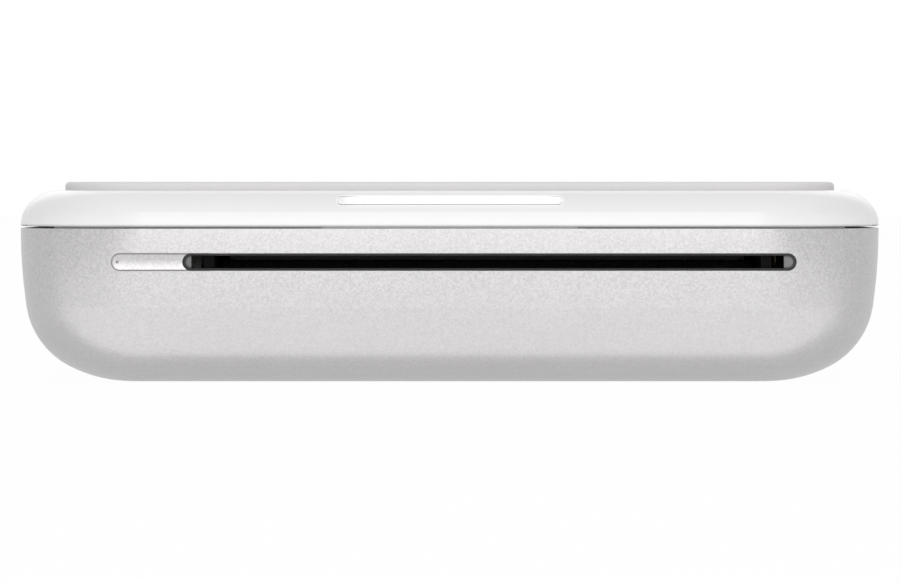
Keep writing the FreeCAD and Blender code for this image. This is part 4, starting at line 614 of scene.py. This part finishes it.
def build_finishes():
    """Make every material once, by the name of the record's slot or of a piece's own finish."""
    own = settings()
    return {
        "pearl_shell": pearl_paint(),
        "cover_white": cover_white(),
        "panel_grey": moulded("panel_grey", own.panel, 0.6, 0.004, 0.015, wear=0.5, gloss=0.2),
        "light_clear": lit_acrylic("light_clear", 0.93, 1.0, 10.5 * MM, 2.4 * MM,
                                   "status_light_bar"),
        "guide_glow": lit_acrylic("guide_glow", 0.4, 0.24, 13 * MM),
        "pipe_glow": lit_acrylic("pipe_glow", 0.84, 0.6, 24 * MM),
        # The bezel, with painted light in the seam
        "bezel_dark": moulded("bezel_dark", own.bezel, 0.5, over=seam_painted_light),
        # The engine's frame, with painted shade where it shows through the print slot
        "chassis_black": moulded("chassis_black", own.chassis, 0.6, 0.008, 0.15, gloss=0.12,
                                 over=mouth_painted_shade),
        "liner_white": moulded("liner_white", own.liner, 0.5, 0.008),
        "plate_grey": moulded("plate_grey", own.plate, 0.48, 0.008),
        "button_white": moulded("button_white", own.cover, 0.36, 0.003, 0.02, 0.15),
        "plug_white": moulded("plug_white", (0.74, 0.72, 0.66), 0.4, 0.004),
        "steel": worked_metal("rolled_steel", (0.42, 0.42, 0.43), 0.24, (1, 0.06, 1)),
        "screw_steel": worked_metal("screw_steel", (0.38, 0.38, 0.39), 0.3, (1, 1, 0.2), 0.08),
        "spring_steel": worked_metal("spring_steel", (0.5, 0.5, 0.51), 0.22, (1, 1, 0.3), 0.04),
        "motor_can": worked_metal("motor_can", (0.52, 0.51, 0.49), 0.28, (0.1, 1, 1), 0.06),
        "head_aluminium": worked_metal("head_aluminium", (0.46, 0.46, 0.47), 0.4, (0.04, 1, 1)),
        "shield_can": worked_metal("shield_can", (0.52, 0.52, 0.5), 0.26, (1, 0.1, 1)),
        "magnet_nickel": worked_metal("magnet_nickel", (0.43, 0.415, 0.385), 0.16, size=0.09),
        "gold": worked_metal("contact_gold", (0.78, 0.56, 0.24), 0.2, (1, 0.2, 1), 0.04),
        "bush_bronze": sintered_bronze(),
        "roller_rubber": roller_rubber(),
        "gear_acetal": milky_acetal(),
        "head_ceramic": head_ceramic(),
        "board_green": board_lacquer(),
        "chip_black": chip_epoxy(),
        "battery_foil": pouch_foil(),
        "tape": cell_tape(),
        "foam": cell_foam("foam", (0.09, 0.09, 0.1)),
        "felt": cell_foam("felt", (0.34, 0.3, 0.24), 0.1),
        "lead_red": wire_sleeve("lead_red", (0.5, 0.02, 0.016)),
        "lead_grey": wire_sleeve("lead_grey", (0.1, 0.1, 0.11)),
        "flex_amber": flex_film(),
    }


# Every finish by its slot or its own name, once the surfaces step has made them
finishes = {}


# Modelling helpers

def take(piece):
    """Make one piece the only selected and active object."""
    bpy.ops.object.select_all(action="DESELECT")
    piece.select_set(True)
    bpy.context.view_layer.objects.active = piece


def named(name):
    """Name the active piece and its mesh."""
    piece = bpy.context.object
    piece.name = name
    piece.data.name = name
    return piece


def started(name):
    """Name the primitive just added and move its place into its mesh."""
    piece = named(name)
    take(piece)
    bpy.ops.object.transform_apply(location=True, rotation=True, scale=True)
    return piece


def slab(name, low, high):
    """A block between two corners."""
    low, high = Vector(low), Vector(high)
    bpy.ops.object.select_all(action="DESELECT")
    bpy.ops.mesh.primitive_cube_add(size=1, location=(low + high) / 2)
    bpy.context.object.scale = high - low
    return started(name)


def disc(name, centre, radius, depth, axis, sides):
    """A round block about the X or the Y axis."""
    turn = {"X": (0, math.pi / 2, 0), "Y": (math.pi / 2, 0, 0)}[axis]
    bpy.ops.object.select_all(action="DESELECT")
    bpy.ops.mesh.primitive_cylinder_add(vertices=sides, radius=radius, depth=depth,
                                        location=centre, rotation=turn)
    return started(name)


@contextmanager
def editing(piece, kind="VERT", test=None):
    """Edit mode, with all selected, or only the faces or edges that pass the test."""
    take(piece)
    bpy.ops.object.mode_set(mode="EDIT")
    bpy.ops.mesh.select_mode(type=kind)
    bpy.ops.mesh.select_all(action="DESELECT" if test else "SELECT")
    if test:
        mesh = bmesh.from_edit_mesh(piece.data)
        for part in mesh.faces if kind == "FACE" else mesh.edges:
            part.select_set(bool(test(part)))
        bmesh.update_edit_mesh(piece.data)
    yield
    bpy.ops.object.mode_set(mode="OBJECT")


def round_edges(piece, axis, least, radius, segments):
    """Round the edges that run further than least along one axis, 0 to 2."""
    with editing(piece, "EDGE", lambda edge: abs((edge.verts[0].co - edge.verts[1].co)[axis])
                 > least):
        bpy.ops.mesh.bevel(offset=radius, segments=segments)


def sink_top(piece, rim, depth):
    """Inset the top face and push it in by depth."""
    with editing(piece, "FACE", lambda face: face.normal.z > 0.9):
        bpy.ops.mesh.inset(thickness=rim, depth=0)
        bpy.ops.mesh.inset(thickness=rim * 0.2, depth=-depth)


def smooth(sharp):
    """Shade the active piece smooth, apart from edges sharper than this many degrees."""
    bpy.ops.object.shade_smooth_by_angle(angle=math.radians(sharp))


def soften(piece, width, segments=2):
    """Round the sharp edges with an applied bevel, and smooth the shading."""
    take(piece)
    bevel = piece.modifiers.new("soften", "BEVEL")
    bevel.width = width
    bevel.segments = segments
    bevel.limit_method = "ANGLE"
    bevel.angle_limit = math.radians(SHARP)
    bpy.ops.object.modifier_apply(modifier=bevel.name)
    smooth(SHARP)


def twin(piece):
    """A copy of a piece with its own mesh, taken."""
    made = piece.copy()
    made.data = piece.data.copy()
    bpy.context.scene.collection.objects.link(made)
    take(made)
    return made


def copies(piece, offsets):
    """Copies of a piece at offsets from it."""
    made = []
    for offset in offsets:
        made.append(twin(piece))
        bpy.ops.transform.translate(value=offset)
        bpy.ops.object.transform_apply(location=True)
    return made


def merged(name, pieces):
    """Join pieces into one of that name."""
    take(pieces[0])
    for piece in pieces[1:]:
        piece.select_set(True)
    if len(pieces) > 1:
        bpy.ops.object.join()
    return named(name)


def dress(piece, body, slot, finish=None):
    """Give a piece its body and its material, found by its record slot or by its own finish."""
    piece.data.materials.clear()
    piece.data.materials.append(finishes[finish or slot].material)
    if body:
        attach(piece, body)
    return piece


def loose_copy(node, name):
    """A merged copy of a CAD node's mesh."""
    piece = bpy.data.objects.new(name, frame["nodes"][node].data.copy())
    bpy.context.scene.collection.objects.link(piece)
    take(piece)
    bpy.ops.mesh.customdata_custom_splitnormals_clear()
    with editing(piece):
        bpy.ops.mesh.remove_doubles(threshold=DOUBLES)
    smooth(30)
    return piece


def drawn_tube(name, points, radius):
    """A round tube along a smooth line near the points, as a mesh."""
    curve = bpy.data.curves.new(name, "CURVE")
    curve.dimensions = "3D"
    curve.resolution_u = 6
    curve.bevel_depth = radius
    curve.bevel_resolution = 3
    curve.use_fill_caps = True
    spline = curve.splines.new("NURBS")
    spline.points.add(len(points) - 1)
    for point, place in zip(spline.points, points):
        point.co = (*place, 1)
    spline.order_u = 3
    spline.use_endpoint_u = True
    piece = bpy.data.objects.new(name, curve)
    bpy.context.scene.collection.objects.link(piece)
    take(piece)
    bpy.ops.object.convert(target="MESH")
    smooth(50)
    return bpy.context.object


# Springs

def coil_points(centre, radius, low, high, wire, turns):
    """Points of a coil between two levels, with flat end turns when they are closed."""
    steps = 16
    total = turns * steps
    flat = 0.5 / turns
    points = []
    for step in range(total + 1):
        share = step / total
        if fittings().closed_ends:
            share = min(1, max(0, (share - flat) / (1 - 2 * flat)))
        angle = math.tau * step / steps
        points.append((centre[0] + radius * math.cos(angle), centre[1] + radius * math.sin(angle),
                       low + wire / 2 + (high - low - wire) * share))
    return points


def coil_pair(name, node, wire, turns):
    """Two coils in the place of a CAD node's two coils."""
    low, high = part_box(node)
    outer = (high.y - low.y) / 2
    # A tube along a smooth line lies a little inside its points
    radius = (outer - wire / 2) * 1.008
    coils = []
    for x in (low.x + outer, high.x - outer):
        points = coil_points((x, low.y + outer), radius, low.z, high.z, wire, turns)
        coils.append(drawn_tube(name, points, wire / 2))
    piece = merged(name, coils)
    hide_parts(node)
    return piece


class PRINTER_OT_springs(bpy.types.Operator):
    """Wind the coil springs of the print head and of the pressure plate"""

    bl_idname = "printer.springs"
    bl_label = "Wind springs"

    def execute(self, context):
        plate = coil_pair("plate_coils", "plate_springs", 0.4 * MM, 4)
        dress(plate, "cover", "spring_steel")
        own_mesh(plate)
        head = coil_pair("head_coils", "head_springs", 0.3 * MM, 3)
        dress(head, "casing", "spring_steel")
        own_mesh(head)
        return {"FINISHED"}


# Wiring and battery

class PRINTER_OT_wiring(bpy.types.Operator):
    """Lay the battery's and the motor's leads and the flex ribbon"""

    bl_idname = "printer.wiring"
    bl_label = "Lay wiring"

    def execute(self, context):
        self.battery_wires()
        self.motor_sheath()
        ribbon = loose_copy("head_flex_cable", "flex_ribbon")
        dress(ribbon, None, "flex_amber")
        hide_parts("head_flex_cable")
        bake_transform(ribbon)
        return {"FINISHED"}

    @staticmethod
    def battery_wires():
        """The battery's two leads, each climbing from the cell to its plug."""
        low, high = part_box("battery_leads")
        radius = 0.375 * MM
        level = low.z + radius
        climb = high.z - radius - level
        # How far back each point lies, in millimetres, and its share of the climb
        route = ((0, 0), (2.2, 0), (4, 0), (5.2, 0.5), (6.6, 1), (8.6, 1))
        for name, x, slot in (("battery_wire_red", low.x + radius, "lead_red"),
                              ("battery_wire_black", high.x - radius, "lead_grey")):
            points = [(x, low.y + back * MM, level + climb * share) for back, share in route]
            wire = drawn_tube(name, points + [(x, high.y, level + climb)], radius)
            dress(wire, "casing", slot)
            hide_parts("battery_leads")

    @staticmethod
    def motor_sheath():
        """The motor's sheathed lead along the tray wall to its plug."""
        motor_low, motor_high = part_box("drive_motor")
        plug_low, plug_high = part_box("motor_plug")
        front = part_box("motor_lead")[0].y
        x = (motor_low.x + MOTOR_COLLAR + motor_high.x) / 2
        axle = (motor_low.z + motor_high.z) / 2
        plug_x = (plug_low.x + plug_high.x) / 2
        plug_level = (plug_low.z + plug_high.z) / 2
        bow, straight, radius = 2 * MM, 3 * MM, 0.45 * MM
        run = LEFT_POST_BACK - front
        drop = axle - plug_level
        # Shares of the bow across, of the run back and of the drop to the plug
        shares = ((0, 0, 0), (-0.6, 0.3, -0.8), (-0.5, 0.65, -1.2), (-0.1, 1, -1.1))
        points = [(x + bow * across, front + run * back, axle + drop * down)
                  for across, back, down in shares]
        points.append((plug_x, plug_low.y - straight, plug_level))
        points.append((plug_x, plug_low.y, plug_level))
        lead = drawn_tube("motor_sheath", points, radius)
        dress(lead, "casing", "lead_grey")
        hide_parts("motor_lead")


class PRINTER_OT_battery(bpy.types.Operator):
    """Wrap the battery: foam pad, taped protection board and folded seams"""

    bl_idname = "printer.battery"
    bl_label = "Wrap battery"

    def execute(self, context):
        low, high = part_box("battery_pad")
        foam = slab("battery_foam", low, high)
        with editing(foam):
            bpy.ops.mesh.subdivide(number_cuts=5)
        soften(foam, 0.09 * MM, 3)
        dress(foam, "casing", "foam")
        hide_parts("battery_pad")
        low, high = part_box("battery")
        self.tape(low, high)
        self.seams(low, high)
        return {"FINISHED"}

    @staticmethod
    def tape(low, high):
        """The tape wrapped round the protection board at the cell's rear end."""
        inset, width, film = 1.2 * MM, 5 * MM, 0.04 * MM
        lap = 0.05 * MM
        tape = slab("cell_tape", (low.x + inset - film, high.y - width, low.z - film),
                    (high.x - inset + film, high.y + lap, high.z + film))
        round_edges(tape, 0, MM, 0.5 * MM, 3)
        soften(tape, 0.05 * MM, 1)
        dress(tape, "casing", "battery_foil", "tape")

    @staticmethod
    def seams(low, high):
        """The folded seams along the cell's two sides."""
        lap, proud = 0.5 * MM, 0.28 * MM
        front, back = low.y + 0.8 * MM, high.y - 5.2 * MM
        bottom, top = low.z + 1.4 * MM, low.z + 3.6 * MM
        seams = []
        for side, edge in ((-1, low.x), (1, high.x)):
            near, far = sorted((edge - side * lap, edge + side * proud))
            seam = slab("cell_seam", (near, front, bottom), (far, back, top))
            soften(seam, 0.12 * MM, 3)
            seams.append(seam)
        dress(merged("cell_seams", seams), "casing", "battery_foil")


# Boards

class PRINTER_OT_board_parts(bpy.types.Operator):
    """Place the small parts of the main board and the leads of its chips"""

    bl_idname = "printer.board_parts"
    bl_label = "Populate board"

    def execute(self, context):
        low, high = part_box("main_board")
        self.capacitors(low, high)
        self.cans(low, high)
        self.chip_leads()
        self.contacts()
        return {"FINISHED"}

    @staticmethod
    def capacitors(low, high):
        """Chip capacitors: a pale body with two plated ends."""
        size = Vector((1.0, 0.5, 0.5)) * MM
        plated, tucked, thin = 0.25 * MM, 0.22 * MM, 0.02 * MM
        corner = Vector((0, 0, high.z))
        body = slab("chip_capacitor", corner + Vector((tucked, thin, 0)),
                    corner + size - Vector((tucked, thin, thin)))
        soften(body, 0.03 * MM, 1)
        end = slab("capacitor_end", corner, corner + Vector((plated, size.y, size.z)))
        soften(end, 0.05 * MM, 2)
        ends = merged("capacitor_end", [end] + copies(end, [(size.x - plated, 0, 0)]))
        # Places as shares of the board's width and depth
        shares = ((0.05, 0.66), (0.05, 0.8), (0.2, 0.2), (0.24, 0.08), (0.36, 0.84), (0.4, 0.84),
                  (0.49, 0.12), (0.52, 0.12), (0.55, 0.86), (0.66, 0.2), (0.66, 0.34),
                  (0.66, 0.48), (0.77, 0.12), (0.8, 0.12), (0.95, 0.5), (0.95, 0.62),
                  (0.93, 0.76), (0.72, 0.84))
        offsets = [(low.x + (high.x - low.x) * across, low.y + (high.y - low.y) * back, 0)
                   for across, back in shares]
        for name, model, slot in (("capacitor_bodies", body, "plug_white"),
                                  ("capacitor_ends", ends, "shield_can")):
            made = copies(model, offsets)
            bpy.data.objects.remove(model)
            dress(merged(name, made), "casing", slot)

    @staticmethod
    def cans(low, high):
        """A square power choke with a sunk top, and the crystal's can with a raised lid."""
        # Share of the board's width, then millimetres but for the counts of segments
        for name, share, front, size, corner_cuts, rim, depth, edge_cuts, slot in (
                ("power_choke", 0.3, 0.5, (2.6, 2.6, 1.3), 2, 0.3, 0.12, 1, "chip_black"),
                ("crystal_can", 0.53, 0.3, (3.2, 1.5, 0.8), 4, 0.12, -0.06, 2, "shield_can")):
            corner = Vector((low.x + (high.x - low.x) * share, low.y + front * MM, high.z))
            can = slab(name, corner, corner + Vector(size) * MM)
            round_edges(can, 2, 0.5 * MM, 0.5 * MM, corner_cuts)
            sink_top(can, rim * MM, depth * MM)
            soften(can, 0.05 * MM, edge_cuts)
            dress(can, "casing", slot)

    @staticmethod
    def chip_leads():
        """Bent leads along all four sides of the large chip."""
        low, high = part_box("board_chips")
        side, width, thick = 6.0 * MM, 0.2 * MM, 0.1 * MM
        margin, reach, heel = 0.4 * MM, 0.55 * MM, 0.25 * MM
        left = high.x - side
        first = left + margin
        pins = fittings().lead_pins
        pitch = (side - margin * 2 - width) / (pins - 1)
        foot = slab("chip_lead", (first, low.y - reach, low.z),
                    (first + width, low.y - heel, low.z + thick))
        with editing(foot, "FACE", lambda face: face.normal.y > 0.9):
            for step in ((0, 0.12 * MM, 0.28 * MM), (0, 0.18 * MM, 0)):
                bpy.ops.mesh.extrude_region_move(TRANSFORM_OT_translate={"value": step})
        soften(foot, 0.015 * MM, 1)
        row = merged("chip_lead", [foot] + copies(
            foot, [(pitch * number, 0, 0) for number in range(1, pins)]))
        centre = Vector((left + side / 2, (low.y + high.y) / 2, low.z))
        rows = [row]
        for quarter in range(1, 4):
            rows.append(twin(row))
            bpy.ops.transform.rotate(value=math.pi / 2 * quarter, orient_axis="Z",
                                     center_override=centre)
            bpy.ops.object.transform_apply(location=True, rotation=True)
        dress(merged("chip_leads", rows), "casing", "shield_can")

    @staticmethod
    def contacts():
        """Five gilt contacts on the tongue of the port."""
        low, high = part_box("usb_port")
        x = (low.x + high.x) / 2
        level = (low.z + high.z) / 2 + 0.3 * MM
        front, back = low.y + 1.2 * MM, high.y - 0.9 * MM
        half, thick, pitch = 0.14 * MM, 0.06 * MM, 0.65 * MM
        strip = slab("port_contact", (x - half, front, level), (x + half, back, level + thick))
        with editing(strip, "FACE", lambda face: face.normal.y > 0.9):
            bpy.ops.mesh.extrude_region_move(
                TRANSFORM_OT_translate={"value": (0, 0.15 * MM, -0.04 * MM)})
        soften(strip, 0.015 * MM, 1)
        row = copies(strip, [(pitch * number, 0, 0) for number in (-2, -1, 1, 2)])
        dress(merged("port_contacts", [strip] + row), "casing", "steel", "gold")


# Paper tray and cover

class PRINTER_OT_tray_fittings(bpy.types.Operator):
    """Add the paper ribs of the tray and the friction pads of the pressure plate"""

    bl_idname = "printer.tray_fittings"
    bl_label = "Fit tray"

    def execute(self, context):
        self.ribs(fittings())
        self.pads(fittings().felt)
        return {"FINISHED"}

    @staticmethod
    def ribs(own):
        """The paper ribs on the tray's floor, rounded along their tops."""
        plate_low, plate_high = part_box("pressure_plate")
        tray_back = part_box("chassis")[1].y
        tyres_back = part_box("pickup_tyres")[1].y
        under_plate, tyre_gap, wall_gap = 0.8 * MM, 3 * MM, 4 * MM
        floor = plate_low.z - under_plate
        span = (plate_high.x - plate_low.x) * 0.9
        first = (plate_low.x + plate_high.x) / 2 - span / 2
        rib = slab("tray_rib", (first - own.rib_width / 2, tyres_back + tyre_gap, floor),
                   (first + own.rib_width / 2, tray_back - wall_gap, floor + own.rib_height))
        with editing(rib, "EDGE", lambda edge: all(vert.co.z > floor + own.rib_height / 2
                                                   for vert in edge.verts)):
            bpy.ops.mesh.bevel(offset=own.rib_height * 0.45, segments=3)
        with editing(rib):
            bpy.ops.mesh.remove_doubles(threshold=DOUBLES)
            bpy.ops.mesh.normals_make_consistent(inside=False)
        smooth(SHARP)
        step = span / (own.tray_ribs - 1)
        ribs = [rib] + copies(rib, [(step * number, 0, 0) for number in range(1, own.tray_ribs)])
        dress(merged("tray_ribs", ribs), "casing", "chassis_black")

    @staticmethod
    def pads(felt):
        """The two felt pads under the plate, over the pickup tyres."""
        plate_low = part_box("pressure_plate")[0].z
        low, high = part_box("pickup_tyres")
        width, margin = 6.6 * MM, 1 * MM
        pads = []
        for left in (low.x, high.x - width):
            pad = slab("friction_pad", (left, low.y - margin, plate_low - felt),
                       (left + width, high.y + margin, plate_low))
            round_edges(pad, 2, felt / 2, 0.8 * MM, 4)
            soften(pad, 0.03 * MM, 2)
            pads.append(pad)
        dress(merged("friction_pads", pads), "stack_plate", "foam", "felt")


class PRINTER_OT_cover_fittings(bpy.types.Operator):
    """Add the stiffening ribs under the cover"""

    bl_idname = "printer.cover_fittings"
    bl_label = "Rib cover"

    def execute(self, context):
        depth = fittings().liner_rib
        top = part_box("plate_springs")[1].z
        half = 0.4 * MM
        side, front, back = 31 * MM, -33 * MM, 36 * MM
        made = []
        for x in (-side, side):
            made.append(self.rib((x - half, front, top - depth), (x + half, back, top)))
        for y in (12 * MM, 20 * MM, 28 * MM, back):
            made.append(self.rib((-side, y - half, top - depth), (side, y + half, top)))
        dress(merged("liner_ribs", made), "cover", "liner_white")
        return {"FINISHED"}

    @staticmethod
    def rib(low, high):
        """One rib, narrower at its foot."""
        rib = slab("liner_rib", low, high)
        with editing(rib, "FACE", lambda face: face.normal.z < -0.9):
            bpy.ops.mesh.inset(thickness=0.12 * MM, depth=0)
            bpy.ops.transform.translate(value=(0, 0, -0.05 * MM))
        soften(rib, 0.08 * MM, 2)
        return rib


# Print engine

class PRINTER_OT_engine_fittings(bpy.types.Operator):
    """Add the motor's crimped end and pins, and the heater line of the print head"""

    bl_idname = "printer.engine_fittings"
    bl_label = "Detail engine"

    def execute(self, context):
        self.motor_end()
        self.heater_line()
        return {"FINISHED"}

    @staticmethod
    def motor_end():
        """The rolled rim round the motor's end, and the pins of its terminal block."""
        low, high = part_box("drive_motor")
        radius = (high.z - low.z) / 2
        y, z = low.y + radius, low.z + radius
        end = low.x + MOTOR_COLLAR
        rim = disc("motor_rim", (end - 0.06 * MM, y, z), radius * 0.97, 0.16 * MM, "X", 48)
        with editing(rim, "FACE", lambda face: face.normal.x < -0.9):
            bpy.ops.mesh.inset(thickness=0.55 * MM, depth=0)
            bpy.ops.mesh.inset(thickness=0.12 * MM, depth=-0.09 * MM)
        soften(rim, 0.03 * MM, 2)
        dress(rim, "casing", "motor_can")
        across, rise = 1.1 * MM, 2.4 * MM
        pin = disc("motor_pin", (end + 2.2 * MM, y + radius + 0.35 * MM, z - rise / 2),
                   0.22 * MM, 0.9 * MM, "Y", 12)
        soften(pin, 0.05 * MM, 2)
        others = [(across * column, 0, rise * row) for row in (0, 1) for column in range(4)][1:]
        dress(merged("motor_pins", [pin] + copies(pin, others)), "casing", "shield_can")

    @staticmethod
    def heater_line():
        """The raised glaze bead with the heater dots, under the ceramic strip."""
        low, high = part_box("head_strip")
        roller_radius, radius, rise, shorter = 3.5 * MM, 0.3 * MM, 0.25 * MM, 1 * MM
        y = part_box("platen_sleeve")[0].y + roller_radius
        bead = disc("heater_bead", ((low.x + high.x) / 2, y, low.z + rise), radius,
                    high.x - low.x - shorter, "X", 24)
        soften(bead, 0.08 * MM, 2)
        dress(bead, "print_head", "head_ceramic")


# Surfaces of the carried-over nodes

class PRINTER_OT_surfaces(bpy.types.Operator):
    """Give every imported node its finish"""

    bl_idname = "printer.surfaces"
    bl_label = "Finish surfaces"

    def execute(self, context):
        finishes.update(build_finishes())
        own = {"status_light_guide": "guide_glow", "charge_light_pipe": "pipe_glow",
               "exit_guide": "chassis_black"}
        for part in frame["record"]["subparts"]:
            name = part["node"]
            materials = frame["nodes"][name].data.materials
            materials.clear()
            materials.append(finishes[own.get(name, part["material_slot"])].material)
        return {"FINISHED"}


# Studio

class PRINTER_OT_studio(bpy.types.Operator):
    """Set up the floor, the lights and the camera"""

    bl_idname = "printer.studio"
    bl_label = "Set up studio"

    def execute(self, context):
        own = context.scene.printer_studio
        front = cad_box[0].y
        self.camera(context, own, front + CORNER_RADIUS)
        self.floor(own)
        # Where each light stands, its two sides and its power
        self.softbox("key_softbox", (0, -0.85, 0.44), (0.36, 1.0), own.key)
        self.softbox("top_softbox", (0, -0.05, 0.9), (1.2, 1.2), own.top)
        self.softbox("rear_softbox", (0, 0.9, 0.5), (1.0, 0.6), own.rear)
        upwards = (math.pi, 0, 0)
        self.softbox("reflector_card", (0, front - 0.142, 0.0004), (0.19, 0.29), own.card, upwards)
        self.surroundings(context.scene.world or bpy.data.worlds.new("studio"), own)
        context.scene.view_settings.view_transform = "Standard"
        return {"FINISHED"}

    @staticmethod
    def camera(context, own, widest):
        """The camera in front of the printer, a hair to one side of its middle."""
        aside = 0.03 * MM
        sensor = 36
        bpy.ops.object.select_all(action="DESELECT")
        place = Vector((aside, widest - own.distance, own.camera_height))
        bpy.ops.object.camera_add(location=place)
        camera = context.object
        camera.name = "front_camera"
        aim = Vector((aside, widest, own.look_height))
        camera.rotation_euler = (aim - place).to_track_quat("-Z", "Y").to_euler()
        camera.data.sensor_width = sensor
        camera.data.lens = sensor * own.distance / own.view_width
        camera.data.clip_start = 0.01
        camera.data.clip_end = 20
        context.scene.camera = camera

    @staticmethod
    def softbox(name, place, size, energy, turn=None):
        """A rectangular light that faces the printer, unless it is turned otherwise."""
        bpy.ops.object.light_add(type="AREA", location=place)
        lamp = bpy.context.object
        lamp.name = name
        lamp.data.shape = "RECTANGLE"
        lamp.data.size, lamp.data.size_y = size
        lamp.data.energy = energy
        lamp.rotation_euler = turn or (-Vector(place)).to_track_quat("-Z", "Y").to_euler()

    @staticmethod
    def floor(own):
        """A pale floor a hair below the printer, that looks white and keeps its shadow."""
        drop = 0.03 * MM
        bpy.ops.object.select_all(action="DESELECT")
        bpy.ops.mesh.primitive_plane_add(size=6, location=(0, 0, -drop))
        floor = started("floor")
        finish = Finish("floor_paper")
        fibre = finish.grain(1 / 900)
        finish.set(Base_Color=finish.blend((0.86,) * 3, (0.9,) * 3, fibre), Roughness=0.9)
        glow = finish.node("ShaderNodeEmission", {}, {"Color": (1, 1, 1), "Strength": 1})
        mixed = finish.node("ShaderNodeMixShader", {}, {
            0: finish.seen_plainly() * own.floor_white,
            1: Flow(finish, finish.shader.outputs[0]), 2: glow})
        finish.fill(finish.tree.nodes["Material Output"].inputs["Surface"], mixed)
        floor.data.materials.append(finish.material)

    @staticmethod
    def surroundings(world, own):
        """White to the camera and in reflections, and softer as a light."""
        bpy.context.scene.world = world
        recipe = Recipe(world)
        background = recipe.tree.nodes["Background"]
        recipe.fill(background.inputs["Color"], (1, 1, 1))
        recipe.fill(background.inputs["Strength"],
                    own.fill + recipe.seen_plainly() * (1 - own.fill))


OPERATORS = (PRINTER_OT_studio, PRINTER_OT_surfaces, PRINTER_OT_springs, PRINTER_OT_wiring,
             PRINTER_OT_battery, PRINTER_OT_board_parts, PRINTER_OT_tray_fittings,
             PRINTER_OT_cover_fittings, PRINTER_OT_engine_fittings)

GROUPS = {"printer_finishes": PrinterFinishes, "printer_fittings": PrinterFittings,
          "printer_studio": PrinterStudio}


class PRINTER_PT_workshop(bpy.types.Panel):
    """Every step of the finisher, in order."""

    bl_label = "Pocket Printer"
    bl_idname = "PRINTER_PT_workshop"
    bl_space_type = "VIEW_3D"
    bl_region_type = "UI"
    bl_category = "Printer"

    def draw(self, context):
        layout = self.layout
        for operator in OPERATORS:
            layout.operator(operator.bl_idname)
        for name in GROUPS:
            group = getattr(context.scene, name)
            box = layout.box()
            for key in group.bl_rna.properties.keys():
                if key not in ("rna_type", "name"):
                    box.prop(group, key)


def register():
    for kind in (*GROUPS.values(), *OPERATORS, PRINTER_PT_workshop):
        bpy.utils.register_class(kind)
    for name, group in GROUPS.items():
        setattr(bpy.types.Scene, name, PointerProperty(type=group))


def unregister():
    for name in GROUPS:
        delattr(bpy.types.Scene, name)
    for kind in (PRINTER_PT_workshop, *reversed(OPERATORS), *GROUPS.values()):
        bpy.utils.unregister_class(kind)


def main():
    register()
    bpy.ops.object.select_all(action="DESELECT")
    for operator in OPERATORS:
        group, name = operator.bl_idname.split(".")
        getattr(getattr(bpy.ops, group), name)()


if __name__ == "__main__":
    main()
